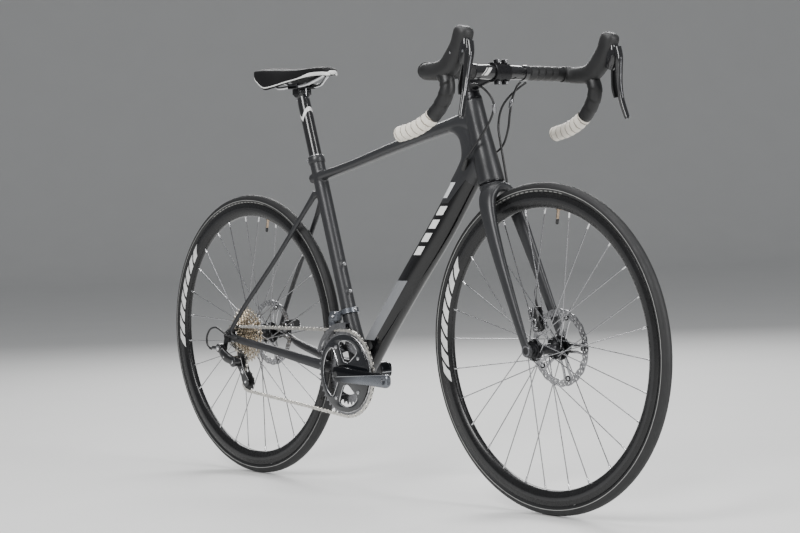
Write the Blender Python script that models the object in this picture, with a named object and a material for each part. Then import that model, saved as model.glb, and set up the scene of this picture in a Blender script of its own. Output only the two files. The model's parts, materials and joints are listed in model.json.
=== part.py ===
"""Road bicycle with drop bars and disc brakes, as an assembly of separate pieces.

Metres. X points forward, Y to the rider's left (the chain is on the -Y side), Z up. The origin is on
the ground, midway between the wheels, in the bicycle's centre plane.
"""

import math

import bmesh
import bpy
from mathutils import Matrix, Vector

# Wheels
WHEELBASE = 1.0186
WHEEL_RADIUS = 0.337
TYRE_WIDTH = 0.025
RIM_INNER, RIM_OUTER = 0.2855, 0.3165
RIM_WIDTH = 0.0246
WHEEL_STEPS = 40
SPOKES_PER_SIDE = 14
SPOKE_THICKNESS = 0.0016
NIPPLE_PHASE = {"front": math.radians(10.5), "rear": math.radians(5.1)}
ROTOR_RADIUS = 0.080
ROTOR_THICKNESS = 0.0018
AXLE_RADIUS = 0.0060
AXLE_BORE = 0.0063

# Frame
BOTTOM_BRACKET = Vector((-0.0925, 0, 0.2638))
SEAT_AXIS = Vector((-0.2861, 0, 0.9582)).normalized()
SEAT_TUBE_LENGTH = 0.5120
SEAT_POST_RADIUS = 0.0150
STEER_POINT = Vector((0.4668, 0, 0.3243))
STEER_AXIS = Vector((-0.2872, 0, 0.9579)).normalized()
HEAD_TUBE_BOTTOM, HEAD_TUBE_TOP = 0.3720, 0.5500
STEERER_RADIUS = 0.0140
SHELL_HALF_WIDTH = 0.0340
BOTTLE_BOSSES = (0.185, 0.249)
BOSS_AXIS = Vector((SEAT_AXIS.z, 0, -SEAT_AXIS.x))
BOSS_FACE = 0.0190
REAR_DROPOUT, FRONT_DROPOUT = 0.0710, 0.0500
DROPOUT_THICKNESS = 0.0070

# Cockpit
BAR_CENTRE = Vector((0.393, 0, 0.903))
CLAMP_RADIUS = 0.0159
BAR_RADIUS = 0.0119
TAPE_RADIUS = 0.0160
HOOD_Y = 0.202

# Transmission
LINK_PITCH = 0.0127
BIG_RING_TEETH, SMALL_RING_TEETH, PULLEY_TEETH = 48, 34, 11
SPROCKET_TEETH = (11, 12, 13, 14, 16, 18, 20, 22, 25, 28, 32)
BIG_RING_Y, SMALL_RING_Y = -0.0460, -0.0385
SMALL_SPROCKET_Y = -0.0625
SPROCKET_SPACING = 0.0039
CRANK_LENGTH = 0.1725
CRANK_ANGLE = math.radians(-2.3)
CRANK_Y = 0.0730
PEDAL_FACE = 0.0802
GUIDE_PULLEY = Vector((-0.480, SMALL_SPROCKET_Y, 0.277))
TENSION_PULLEY = Vector((-0.452, SMALL_SPROCKET_Y, 0.229))
BOLT_CIRCLE = 0.0550
GUIDED = 0.026  # the length of each chain run next to a wheel that stays in the wheel's plane
SPIDER_ANGLES = (36, -36, 116, -116)

GAP = 0.0003
X_AXIS, Y_AXIS, Z_AXIS = Vector((1, 0, 0)), Vector((0, 1, 0)), Vector((0, 0, 1))
FRONT_AXLE = Vector((WHEELBASE / 2, 0, WHEEL_RADIUS))
REAR_AXLE = Vector((-WHEELBASE / 2, 0, WHEEL_RADIUS))


# ---------------------------------------------------------------- materials and objects

def material(name, colour, roughness, metallic=0.0):
    made = bpy.data.materials.new(name)
    made.use_nodes = True
    shader = made.node_tree.nodes["Principled BSDF"]
    shader.inputs["Base Color"].default_value = (*colour, 1)
    shader.inputs["Roughness"].default_value = roughness
    shader.inputs["Metallic"].default_value = metallic
    return made


def make_looks():
    return {
        "frame_paint": material("frame_paint", (0.022, 0.023, 0.026), 0.42),
        "black_alloy": material("black_alloy", (0.015, 0.015, 0.017), 0.35, 0.6),
        "rubber": material("rubber", (0.018, 0.018, 0.019), 0.7),
        "dark_tape": material("dark_tape", (0.012, 0.012, 0.013), 0.75),
        "saddle_black": material("saddle_black", (0.010, 0.010, 0.011), 0.35),
        "crank_grey": material("crank_grey", (0.10, 0.13, 0.17), 0.2, 0.8),
        "steel": material("steel", (0.55, 0.54, 0.52), 0.3, 1.0),
        "chain_steel": material("chain_steel", (0.50, 0.45, 0.38), 0.3, 1.0),
        "dark_plastic": material("dark_plastic", (0.02, 0.02, 0.022), 0.4),
    }


def finish(name, mesh, look, pivot=None, smooth=40.0, helper=False):
    """An object from a bmesh drawn in world coordinates, its origin on pivot."""
    pivot = pivot or Vector((0, 0, 0))
    bmesh.ops.translate(mesh, verts=mesh.verts, vec=-pivot)
    bmesh.ops.recalc_face_normals(mesh, faces=mesh.faces)
    data = bpy.data.meshes.new(name)
    mesh.to_mesh(data)
    mesh.free()
    data.shade_smooth()
    data.set_sharp_from_angle(angle=math.radians(smooth))
    made = bpy.data.objects.new(name, data)
    made.location = pivot
    bpy.context.scene.collection.objects.link(made)
    if helper:
        made.hide_render = True
        made.display_type = "WIRE"
    else:
        data.materials.append(look)
    return made


def combine(target, operation, meshes):
    """Boolean modifiers on target, one for each mesh, whose objects are hidden helpers."""
    for number, mesh in enumerate(meshes):
        name = f"{target.name}_{operation.lower()}_{len(target.modifiers)}_{number}"
        modifier = target.modifiers.new(name, "BOOLEAN")
        modifier.operation = operation
        modifier.solver = "EXACT"
        modifier.object = finish(name, mesh, None, helper=True)


def unite(target, *meshes):
    combine(target, "UNION", meshes)


def cut(target, *meshes):
    combine(target, "DIFFERENCE", meshes)


# ---------------------------------------------------------------- shapes

def turned(profile, centre, axis, steps, start=None):
    """A closed profile of (distance along the axis, radius) points, spun about the axis."""
    mesh = bmesh.new()
    across = start or axis.orthogonal().normalized()
    verts = [mesh.verts.new(centre + axis * along + across * radius) for along, radius in profile]
    pairs = zip(range(len(profile)), [*range(1, len(profile)), 0])
    edges = [
        mesh.edges.new((verts[a], verts[b]))
        for a, b in pairs
        if profile[a][1] > 0 or profile[b][1] > 0
    ]
    bmesh.ops.spin(
        mesh, geom=verts + edges, cent=centre, axis=axis, dvec=(0, 0, 0),
        angle=math.tau, steps=steps, use_merge=True, use_duplicate=False,
    )
    bmesh.ops.remove_doubles(mesh, verts=mesh.verts, dist=1e-6)
    bmesh.ops.recalc_face_normals(mesh, faces=mesh.faces)
    return mesh


def rod(start, end, radius, steps=16):
    """A plain round bar between two points."""
    along = end - start
    profile = [(0, 0), (0, radius), (along.length, radius), (along.length, 0)]
    return turned(profile, start, along.normalized(), steps)


def ring(centre, axis, inner, outer, low, high, steps):
    """A flat-sided ring about an axis, from low to high along it."""
    return turned([(low, inner), (low, outer), (high, outer), (high, inner)], centre, axis, steps)


def block(centre, size, turn=None):
    """A box of the given size, turned about its centre by a matrix."""
    mesh = bmesh.new()
    place = Matrix.Translation(centre) @ (turn or Matrix()).to_4x4() @ Matrix.Diagonal((*size, 1))
    bmesh.ops.create_cube(mesh, size=1, matrix=place)
    return mesh


def softened(mesh, width, segments=1):
    """The same mesh with its sharp edges bevelled."""
    sharp = [e for e in mesh.edges if len(e.link_faces) == 2 and e.calc_face_angle() > 0.6]
    bmesh.ops.bevel(
        mesh, geom=sharp, offset=width, segments=segments, profile=0.5, affect="EDGES",
        clamp_overlap=True,
    )
    return mesh


def outline_ring(centre, side, up, half_side, half_up, count, squareness=2.0):
    """Points round a superellipse: 2 is an ellipse, more is squarer."""
    points = []
    for number in range(count):
        angle = math.tau * (number + 0.5) / count
        across, rise = math.cos(angle), math.sin(angle)
        across = math.copysign(abs(across) ** (2 / squareness), across)
        rise = math.copysign(abs(rise) ** (2 / squareness), rise)
        points.append(centre + side * half_side * across + up * half_up * rise)
    return points


def bridged(mesh, rings, closed=False):
    """Side faces between successive rings of equally many points; returns the rings' vertices."""
    rows = [[mesh.verts.new(point) for point in points] for points in rings]
    pairs = list(zip(rows, rows[1:]))
    if closed:
        pairs.append((rows[-1], rows[0]))
    count = len(rows[0])
    for first, second in pairs:
        for number in range(count):
            following = (number + 1) % count
            mesh.faces.new((first[number], first[following], second[following], second[number]))
    return rows


def loft(rings):
    """A solid through successive rings, with flat ends."""
    mesh = bmesh.new()
    rows = bridged(mesh, rings)
    mesh.faces.new(rows[0][::-1])
    mesh.faces.new(rows[-1])
    bmesh.ops.recalc_face_normals(mesh, faces=mesh.faces)
    return mesh


def pipe(outer_rings, inner_rings):
    """A hollow, open-ended solid between two sets of rings."""
    mesh = bmesh.new()
    outer = bridged(mesh, outer_rings)
    inner = bridged(mesh, inner_rings)
    count = len(outer[0])
    for end in (0, -1):
        for number in range(count):
            following = (number + 1) % count
            mesh.faces.new((
                outer[end][number], outer[end][following], inner[end][following], inner[end][number],
            ))
    bmesh.ops.recalc_face_normals(mesh, faces=mesh.faces)
    return mesh


def smooth_path(points, steps):
    """Points along a curve through the given ones, with so many steps between each two."""
    points = [Vector(point) for point in points]
    padded = [2 * points[0] - points[1], *points, 2 * points[-1] - points[-2]]
    path = []
    for number in range(len(points) - 1):
        before, start, end, after = padded[number : number + 4]
        for step in range(steps):
            t = step / steps
            path.append(0.5 * (
                2 * start
                + (end - before) * t
                + (2 * before - 5 * start + 4 * end - after) * t ** 2
                + (3 * start - before - 3 * end + after) * t ** 3
            ))
    path.append(points[-1])
    return path


def path_frames(path, hint):
    """(point, side, up) along a path: up is square to the path and as near to hint as it can be."""
    frames = []
    for number, point in enumerate(path):
        before, after = path[max(number - 1, 0)], path[min(number + 1, len(path) - 1)]
        tangent = (after - before).normalized()
        side = hint.cross(tangent).normalized()
        frames.append((point, side, tangent.cross(side).normalized()))
    return frames


def swept_rings(stations, hint, steps, count, squareness=2.0, grow=0.0):
    """Rings along a curve through stations of (point, half size aside, half size along hint)."""
    path = smooth_path([station[0] for station in stations], steps)
    sizes = smooth_path([(station[1], station[2], 0) for station in stations], steps)
    return [
        outline_ring(point, side, up, size.x + grow, size.y + grow, count, squareness)
        for (point, side, up), size in zip(path_frames(path, hint), sizes)
    ]


def swept(stations, hint, steps=3, count=12, squareness=2.0):
    return loft(swept_rings(stations, hint, steps, count, squareness))


def cable(name, points, radius, look, steps=4, sides=1):
    """A round tube along a curve through the points."""
    data = bpy.data.curves.new(name, "CURVE")
    data.dimensions = "3D"
    data.bevel_depth = radius
    data.bevel_resolution = sides
    data.use_fill_caps = True
    path = smooth_path(points, steps)
    spline = data.splines.new("POLY")
    spline.points.add(len(path) - 1)
    for target, point in zip(spline.points, path):
        target.co = (*point, 1)
    made = bpy.data.objects.new(name, data)
    data.materials.append(look)
    bpy.context.scene.collection.objects.link(made)
    return made


def mirrored(point):
    return Vector((point[0], -point[1], point[2]))


def on_plane(angle, radius, centre, y):
    """The point at an angle from +X towards +Z, on a wheel's plane at the given y."""
    return Vector((centre.x + radius * math.cos(angle), y, centre.z + radius * math.sin(angle)))


def pitch_radius(teeth):
    return LINK_PITCH / (2 * math.sin(math.pi / teeth))


def seat_point(distance):
    return BOTTOM_BRACKET + SEAT_AXIS * distance


def steer_at(distance):
    return STEER_POINT + STEER_AXIS * distance


# ---------------------------------------------------------------- frame

def frame_tubes():
    """The frame's tubes as lofts that run into one another."""
    down = [
        ((-0.0925, 0, 0.2640), 0.0230, 0.0280), ((-0.020, 0, 0.348), 0.0225, 0.0290),
        ((0.092, 0, 0.470), 0.0220, 0.0295), ((0.197, 0, 0.581), 0.0215, 0.0315),
        ((0.275, 0, 0.672), 0.0210, 0.0310), ((0.344, 0, 0.752), 0.0190, 0.0300),
    ]
    top = [
        ((-0.246, 0, 0.7040), 0.0170, 0.0120), ((-0.100, 0, 0.7320), 0.0145, 0.0105),
        ((0.055, 0, 0.7655), 0.0160, 0.0118), ((0.180, 0, 0.7905), 0.0175, 0.0135),
        ((0.262, 0, 0.8050), 0.0185, 0.0165), ((0.298, 0, 0.8080), 0.0185, 0.0230),
        ((0.324, 0, 0.8060), 0.0185, 0.0290),
    ]
    web = [
        ((0.2550, 0, 0.7965), 0.0155, 0.0125), ((0.2820, 0, 0.7880), 0.0172, 0.0195),
        ((0.3005, 0, 0.7660), 0.0180, 0.0248), ((0.3045, 0, 0.7400), 0.0185, 0.0256),
        ((0.2980, 0, 0.7120), 0.0190, 0.0262), ((0.2720, 0, 0.6790), 0.0196, 0.0270),
    ]
    tubes = [
        swept(down, X_AXIS, 1, 12, 2.3), swept(top, Z_AXIS, 1, 10, 2.2), swept(web, X_AXIS, 1, 12, 2.3),
    ]
    for side in (-1, 1):
        chainstay = [
            ((-0.098, 0.024 * side, 0.2640), 0.0090, 0.0160),
            ((-0.150, 0.0262 * side, 0.2705), 0.0085, 0.0145),
            ((-0.218, 0.0300 * side, 0.2790), 0.0085, 0.0130),
            ((-0.385, 0.0500 * side, 0.3100), 0.0080, 0.0098),
            ((-0.446, 0.0660 * side, 0.3230), 0.0065, 0.0092),
            ((-0.500, 0.0745 * side, 0.3340), 0.0030, 0.0085),
        ]
        seatstay = [
            ((-0.230, 0.0110 * side, 0.6720), 0.0060, 0.0100),
            ((-0.262, 0.0200 * side, 0.6310), 0.0056, 0.0072),
            ((-0.290, 0.0260 * side, 0.5975), 0.0053, 0.0066),
            ((-0.365, 0.0410 * side, 0.5110), 0.0050, 0.0063),
            ((-0.457, 0.0625 * side, 0.4090), 0.0048, 0.0063),
            ((-0.503, 0.0745 * side, 0.3500), 0.0030, 0.0068),
        ]
        tubes.append(swept(chainstay, Z_AXIS, 1, 8, 2.4))
        tubes.append(swept(seatstay, X_AXIS, 1, 8))
        tubes.append(ring_plate(REAR_AXLE, 0.0160, side, REAR_DROPOUT))
    tubes.append(rod(Vector((-0.0925, -SHELL_HALF_WIDTH, 0.2638)),
                     Vector((-0.0925, SHELL_HALF_WIDTH, 0.2638)), 0.0260, 20))
    return tubes


def ring_plate(axle, radius, side, inner_face):
    """One dropout: a round plate on the axle's line, outside inner_face."""
    near = axle + Y_AXIS * side * inner_face
    far = axle + Y_AXIS * side * (inner_face + DROPOUT_THICKNESS)
    return rod(near, far, radius, 14)


def make_frame(looks):
    head = turned(
        [(0, 0), (0, 0.0272), (0.030, 0.0264), (0.110, 0.0224), (0.178, 0.0215), (0.178, 0)],
        steer_at(HEAD_TUBE_BOTTOM), STEER_AXIS, 18,
    )
    frame = finish("frame", head, looks["frame_paint"])
    seat_tube = [
        (seat_point(0.0), 0.0235, 0.0260), (seat_point(0.06), 0.0210, 0.0235),
        (seat_point(0.115), 0.0185, 0.0185), (seat_point(0.20), 0.0172, 0.0172),
        (seat_point(0.46), 0.0174, 0.0174), (seat_point(SEAT_TUBE_LENGTH), 0.0182, 0.0182),
    ]
    bosses = [
        rod(seat_point(distance), seat_point(distance) + BOSS_AXIS * BOSS_FACE, 0.0060, 10)
        for distance in BOTTLE_BOSSES
    ]
    unite(frame, swept(seat_tube, X_AXIS, 1, 14), *frame_tubes(), *bosses)
    cut(
        frame,
        rod(steer_at(HEAD_TUBE_BOTTOM - 0.02), steer_at(HEAD_TUBE_TOP + 0.02), 0.0158, 18),
        rod(seat_point(0.27), seat_point(SEAT_TUBE_LENGTH + 0.02), SEAT_POST_RADIUS + 2 * GAP),
        rod(BOTTOM_BRACKET - Y_AXIS * 0.06, BOTTOM_BRACKET + Y_AXIS * 0.06, 0.0182, 16),
        rod(REAR_AXLE - Y_AXIS * 0.09, REAR_AXLE + Y_AXIS * 0.09, AXLE_BORE, 12),
    )


def make_frame_fittings(looks):
    """Cups, bearings, the seat collar and the derailleur hanger."""
    for side, name in ((-1, "right"), (1, "left")):
        face = SHELL_HALF_WIDTH + GAP
        profile = [
            (face - 0.016, 0.0124), (face - 0.016, 0.0177), (face, 0.0177), (face, 0.0218),
            (face + 0.0080, 0.0212), (face + 0.0080, 0.0124),
        ]
        cup = turned(profile, BOTTOM_BRACKET, Y_AXIS * side, 16)
        finish(f"bottom_bracket_cup_{name}", cup, looks["black_alloy"])
    for name, distance in (("lower", HEAD_TUBE_BOTTOM + 0.002), ("upper", HEAD_TUBE_TOP - 0.012)):
        bearing = ring(steer_at(distance), STEER_AXIS, STEERER_RADIUS + 2.5 * GAP, 0.0152, 0, 0.010, 12)
        finish(f"headset_bearing_{name}", bearing, looks["steel"])

    top = seat_point(SEAT_TUBE_LENGTH - 0.015)
    collar = finish(
        "seat_collar", ring(top, SEAT_AXIS, 0.0187, 0.0222, 0, 0.0155, 14), looks["black_alloy"]
    )
    lean = Matrix.Rotation(math.atan2(SEAT_AXIS.x, SEAT_AXIS.z), 3, "Y")
    lug = seat_point(SEAT_TUBE_LENGTH - 0.0073) - X_AXIS * 0.0262
    unite(collar, softened(block(lug, (0.0120, 0.0130, 0.0125), lean), 0.001))

    outside = -(REAR_DROPOUT + DROPOUT_THICKNESS + GAP)
    hanger_low = Vector((-0.5210, 0, 0.3085))
    hanger = finish(
        "derailleur_hanger",
        rod(REAR_AXLE + Y_AXIS * outside, REAR_AXLE + Y_AXIS * (outside - 0.0045), 0.0115, 14),
        looks["black_alloy"],
    )
    arm_centre = (REAR_AXLE + hanger_low) / 2 + Y_AXIS * (outside - 0.00225)
    along = (hanger_low - REAR_AXLE).normalized()
    turn = Matrix.Rotation(math.atan2(along.x, along.z), 3, "Y")
    unite(
        hanger,
        block(arm_centre, (0.0150, 0.0043, (hanger_low - REAR_AXLE).length), turn),
        rod(hanger_low + Y_AXIS * outside, hanger_low + Y_AXIS * (outside - 0.0046), 0.0085, 12),
    )
    cut(hanger, rod(REAR_AXLE + Y_AXIS * -0.06, REAR_AXLE + Y_AXIS * -0.09, AXLE_BORE, 12))


# ---------------------------------------------------------------- seat post and saddle

def make_seat_post(looks):
    head = seat_point(0.6720)
    tube = rod(seat_point(0.330), seat_point(0.6625), SEAT_POST_RADIUS, 16)
    post = finish("seat_post", tube, looks["black_alloy"])
    unite(post, rod(head - Y_AXIS * 0.0165, head + Y_AXIS * 0.0165, 0.0145, 16))
    return head


def saddle_section(x, half_width, top, skirt, crown):
    """The saddle's outline across the bicycle at one place along it."""
    points = []
    for share in (-1, -0.86, -0.55, -0.2, 0.2, 0.55, 0.86, 1):
        drop = skirt * 0.55 if abs(share) == 1 else crown * share ** 2
        points.append(Vector((x, half_width * share, top - drop)))
    for share in (0.93, 0.45, -0.45, -0.93):
        under = skirt if abs(share) > 0.9 else min(skirt * 0.5, 0.0150) + 0.001
        points.append(Vector((x, half_width * share, top - under)))
    return points


SADDLE_STATIONS = (
    # x, half width, top, skirt depth, crown drop towards the side
    (-0.4140, 0.0330, 0.9640, 0.0190, 0.003),
    (-0.4070, 0.0480, 0.9690, 0.0330, 0.005),
    (-0.3880, 0.0560, 0.9705, 0.0430, 0.008),
    (-0.3600, 0.0590, 0.9690, 0.0470, 0.009),
    (-0.3320, 0.0540, 0.9660, 0.0440, 0.008),
    (-0.2980, 0.0410, 0.9620, 0.0340, 0.006),
    (-0.2600, 0.0300, 0.9600, 0.0260, 0.005),
    (-0.2200, 0.0240, 0.9605, 0.0210, 0.004),
    (-0.1850, 0.0210, 0.9590, 0.0195, 0.004),
    (-0.1660, 0.0140, 0.9520, 0.0130, 0.003),
)
RAIL_Y = 0.0220
RAIL_RADIUS = 0.0035
RAIL_Z = 0.9200
SHELL_DEPTH = 0.0042


def make_saddle(looks, pivot):
    finish(
        "saddle_cover", loft([saddle_section(*station) for station in SADDLE_STATIONS]),
        looks["saddle_black"], pivot=pivot, smooth=60,
    )
    rings = []
    for x, half, top, skirt, _ in SADDLE_STATIONS[1:-1]:
        half = min(half * 0.34, 0.0130)
        top -= min(skirt * 0.5, 0.0150) + 0.0016
        rings.append([
            Vector((x, -half, top)), Vector((x, half, top)),
            Vector((x, half, top - SHELL_DEPTH)), Vector((x, -half, top - SHELL_DEPTH)),
        ])
    finish("saddle_shell", loft(rings), looks["dark_plastic"], pivot=pivot)
    for side, name in ((-1, "right"), (1, "left")):
        points = [
            (-0.3920, 0.0140 * side, 0.9420), (-0.3700, 0.0200 * side, 0.9320),
            (-0.3460, RAIL_Y * side, RAIL_Z), (-0.3050, RAIL_Y * side, RAIL_Z),
            (-0.2620, RAIL_Y * side, RAIL_Z), (-0.2360, 0.0200 * side, 0.9225),
            (-0.2150, 0.0130 * side, 0.9300), (-0.1900, 0.0060 * side, 0.9400),
        ]
        cable(f"saddle_rail_{name}", points, RAIL_RADIUS, looks["steel"], 2, 1)
    clamp = finish(
        "saddle_clamp",
        block(pivot + Z_AXIS * 0.0080, (0.0380, 0.0600, 0.0206)),
        looks["black_alloy"], pivot=pivot,
    )
    grooves = [
        rod(Vector((-0.40, RAIL_Y * side, RAIL_Z)), Vector((-0.20, RAIL_Y * side, RAIL_Z)), 0.0042, 8)
        for side in (-1, 1)
    ]
    cut(clamp, rod(pivot - Y_AXIS * 0.04, pivot + Y_AXIS * 0.04, 0.0151, 16), *grooves)


# ---------------------------------------------------------------- fork and cockpit

def make_fork(looks):
    stations = [
        ((0.5070, 0.0535, 0.3400), 0.0033, 0.0100), ((0.4900, 0.0530, 0.3800), 0.0055, 0.0108),
        ((0.4600, 0.0505, 0.4500), 0.0075, 0.0125), ((0.4260, 0.0470, 0.5300), 0.0090, 0.0150),
        ((0.3980, 0.0420, 0.6000), 0.0105, 0.0180), ((0.3830, 0.0330, 0.6420), 0.0120, 0.0205),
        ((0.3780, 0.0160, 0.6640), 0.0120, 0.0225),
    ]
    right = [(mirrored(point), across, deep) for point, across, deep in stations]
    middle = [(Vector((0.3765, 0, 0.6680)), 0.0122, 0.0230)]
    whole = stations + middle + right[::-1]
    fork = finish("fork", swept(whole, X_AXIS, 1, 10, 2.3), looks["frame_paint"])
    race = HEAD_TUBE_BOTTOM - 0.0006
    neck = [(-0.022, 0), (-0.022, 0.0243), (0.0, 0.0272), (0.0, STEERER_RADIUS),
            (0.231, STEERER_RADIUS), (0.231, 0)]
    unite(
        fork,
        turned(neck, steer_at(race), STEER_AXIS, 16),
        ring_plate(FRONT_AXLE, 0.0135, -1, FRONT_DROPOUT),
        ring_plate(FRONT_AXLE, 0.0135, 1, FRONT_DROPOUT),
    )
    cut(fork, rod(FRONT_AXLE - Y_AXIS * 0.08, FRONT_AXLE + Y_AXIS * 0.08, AXLE_BORE, 12))


STEM_LOW, STEM_HIGH = 0.5640, 0.6040


def make_stem(looks):
    cover = [(0, STEERER_RADIUS + 0.0004), (0, 0.0214), (0.0090, 0.0190), (0.0134, 0.0185),
             (0.0134, STEERER_RADIUS + 0.0004)]
    finish(
        "headset_cover", turned(cover, steer_at(HEAD_TUBE_TOP + GAP), STEER_AXIS, 16),
        looks["black_alloy"],
    )
    steer_clamp = rod(steer_at(STEM_LOW), steer_at(STEM_HIGH), 0.0190, 16)
    stem = finish("stem", steer_clamp, looks["black_alloy"])
    clamp_centre = steer_at((STEM_LOW + STEM_HIGH) / 2)
    neck = [
        (clamp_centre, 0.0150, 0.0165), (clamp_centre.lerp(BAR_CENTRE, 0.5), 0.0145, 0.0150),
        (BAR_CENTRE - X_AXIS * 0.008, 0.0150, 0.0155),
    ]
    barrel = rod(BAR_CENTRE - Y_AXIS * 0.0215, BAR_CENTRE + Y_AXIS * 0.0215, 0.0205, 16)
    bar_bore = rod(BAR_CENTRE - Y_AXIS * 0.03, BAR_CENTRE + Y_AXIS * 0.03, CLAMP_RADIUS + 2 * GAP)
    split = BAR_CENTRE + X_AXIS * (0.0008 + 0.02)
    unite(stem, swept(neck, Z_AXIS, 1, 10, 2.4), barrel)
    cut(
        stem,
        rod(steer_at(STEM_LOW - 0.01), steer_at(STEM_HIGH + 0.01), STEERER_RADIUS + 2 * GAP, 16),
        bar_bore.copy(),
        block(split, (0.04, 0.06, 0.06)),
    )
    plate = rod(BAR_CENTRE - Y_AXIS * 0.0210, BAR_CENTRE + Y_AXIS * 0.0210, 0.0205, 16)
    faceplate = finish("stem_faceplate", plate, looks["black_alloy"])
    ears = [
        block(BAR_CENTRE + Vector((0.0070, 0, 0.0215 * way)), (0.0110, 0.0300, 0.0085))
        for way in (-1, 1)
    ]
    unite(faceplate, *ears)
    cut(
        faceplate, bar_bore,
        block(BAR_CENTRE + X_AXIS * (0.0012 - 0.02), (0.04, 0.06, 0.08)),
    )
    cap = [(0, 0), (0, 0.0175), (0.0035, 0.0175), (0.0055, 0.0150), (0.0055, 0)]
    finish("stem_cap", turned(cap, steer_at(STEM_HIGH + GAP), STEER_AXIS, 12), looks["black_alloy"])


# One side of the handlebar's centre line, from the middle outwards, round the hook to the drop's end.
BAR_LINE = (
    (0.3930, 0.0000, 0.9030), (0.3930, 0.0280, 0.9030), (0.3930, 0.0700, 0.9030),
    (0.3920, 0.1150, 0.9030), (0.3895, 0.1600, 0.9030), (0.3890, 0.1860, 0.9028),
    (0.3975, 0.2010, 0.9020), (0.4160, 0.2050, 0.9005), (0.4420, 0.2045, 0.8965),
    (0.4620, 0.2040, 0.8830), (0.4660, 0.2050, 0.8620), (0.4560, 0.2070, 0.8400),
    (0.4370, 0.2095, 0.8190), (0.4100, 0.2120, 0.8010), (0.3730, 0.2150, 0.7870),
    (0.3290, 0.2175, 0.7790),
)
BAR_HALF_SIZES = (CLAMP_RADIUS, CLAMP_RADIUS, 0.0135) + (BAR_RADIUS,) * 13
TAPE_FROM = 2


def bar_rings(side, extra, first=0, last=None, count=8):
    """Rings round one side of the bar; extra is added to the bar's own radius."""
    line = [Vector((x, y * side, z)) for x, y, z in BAR_LINE[first:last]]
    sizes = BAR_HALF_SIZES[first:last]
    path = smooth_path(line, 1)
    radii = smooth_path([(size, 0, 0) for size in sizes], 1)
    rings, side_way = [], Z_AXIS
    for number, point in enumerate(path):
        before, after = path[max(number - 1, 0)], path[min(number + 1, len(path) - 1)]
        if number == 0 and first == 0:
            before = mirrored(after)
        tangent = (after - before).normalized() * side
        side_way = (side_way - tangent * side_way.dot(tangent)).normalized()
        other = tangent.cross(side_way)
        radius = radii[number].x + extra
        rings.append(outline_ring(point, side_way, other, radius, radius, count))
    return rings


def make_handlebar(looks):
    right, left = bar_rings(-1, 0), bar_rings(1, 0)
    finish("handlebar", loft(right[::-1] + left[1:]), looks["black_alloy"])
    for side, name in ((-1, "right"), (1, "left")):
        inner = bar_rings(side, 0.0005, TAPE_FROM)
        outer = bar_rings(side, TAPE_RADIUS - BAR_RADIUS, TAPE_FROM)
        finish(f"bar_tape_{name}", pipe(outer, inner), looks["dark_tape"])


def make_hoods(looks):
    for side, name in ((-1, "right"), (1, "left")):
        body = [
            ((0.4120, 0.2035 * side, 0.8980), 0.0172, 0.0172),
            ((0.4480, 0.2030 * side, 0.8990), 0.0187, 0.0190),
            ((0.4680, 0.2022 * side, 0.9050), 0.0185, 0.0205),
            ((0.4880, 0.2022 * side, 0.9230), 0.0175, 0.0215),
            ((0.5030, 0.2020 * side, 0.9430), 0.0165, 0.0200),
            ((0.5110, 0.2020 * side, 0.9610), 0.0180, 0.0190),
            ((0.5160, 0.2020 * side, 0.9740), 0.0160, 0.0165),
            ((0.5180, 0.2020 * side, 0.9795), 0.0090, 0.0095),
        ]
        hood = finish(
            f"lever_hood_{name}", swept(body, Z_AXIS + X_AXIS * -0.6, 1, 10, 2.5), looks["rubber"]
        )
        cut(hood, loft(bar_rings(side, TAPE_RADIUS - BAR_RADIUS + GAP, 3, 12)))


LEVER_PIVOT = Vector((0.5270, HOOD_Y + 0.004, 0.9300))
PADDLE_PIVOT = Vector((0.5160, HOOD_Y + 0.004, 0.9060))


def make_levers(looks):
    for side, name in ((-1, "right"), (1, "left")):
        pivot = Vector((LEVER_PIVOT.x, LEVER_PIVOT.y * side, LEVER_PIVOT.z))
        blade = [
            ((0.5345, 0.2045 * side, 0.9500), 0.0100, 0.0045),
            ((0.5360, 0.2060 * side, 0.9300), 0.0105, 0.0062),
            ((0.5330, 0.2085 * side, 0.9050), 0.0095, 0.0058),
            ((0.5300, 0.2125 * side, 0.8720), 0.0080, 0.0042),
            ((0.5290, 0.2185 * side, 0.8400), 0.0076, 0.0038),
            ((0.5320, 0.2290 * side, 0.8050), 0.0072, 0.0036),
        ]
        lever = swept(blade, X_AXIS, 1, 10, 2.6)
        finish(f"brake_lever_{name}", lever, looks["dark_plastic"], pivot=pivot)
        paddle_pivot = Vector((PADDLE_PIVOT.x, PADDLE_PIVOT.y * side, PADDLE_PIVOT.z))
        paddle = [
            ((0.5180, 0.2070 * side, 0.9050), 0.0055, 0.0030),
            ((0.5170, 0.2090 * side, 0.8860), 0.0075, 0.0028),
            ((0.5165, 0.2120 * side, 0.8640), 0.0095, 0.0026),
            ((0.5175, 0.2150 * side, 0.8460), 0.0075, 0.0024),
        ]
        finish(
            f"shift_paddle_{name}", swept(paddle, X_AXIS, 1, 8, 2.4), looks["dark_plastic"],
            pivot=paddle_pivot,
        )


# ---------------------------------------------------------------- hoses and cables

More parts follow.
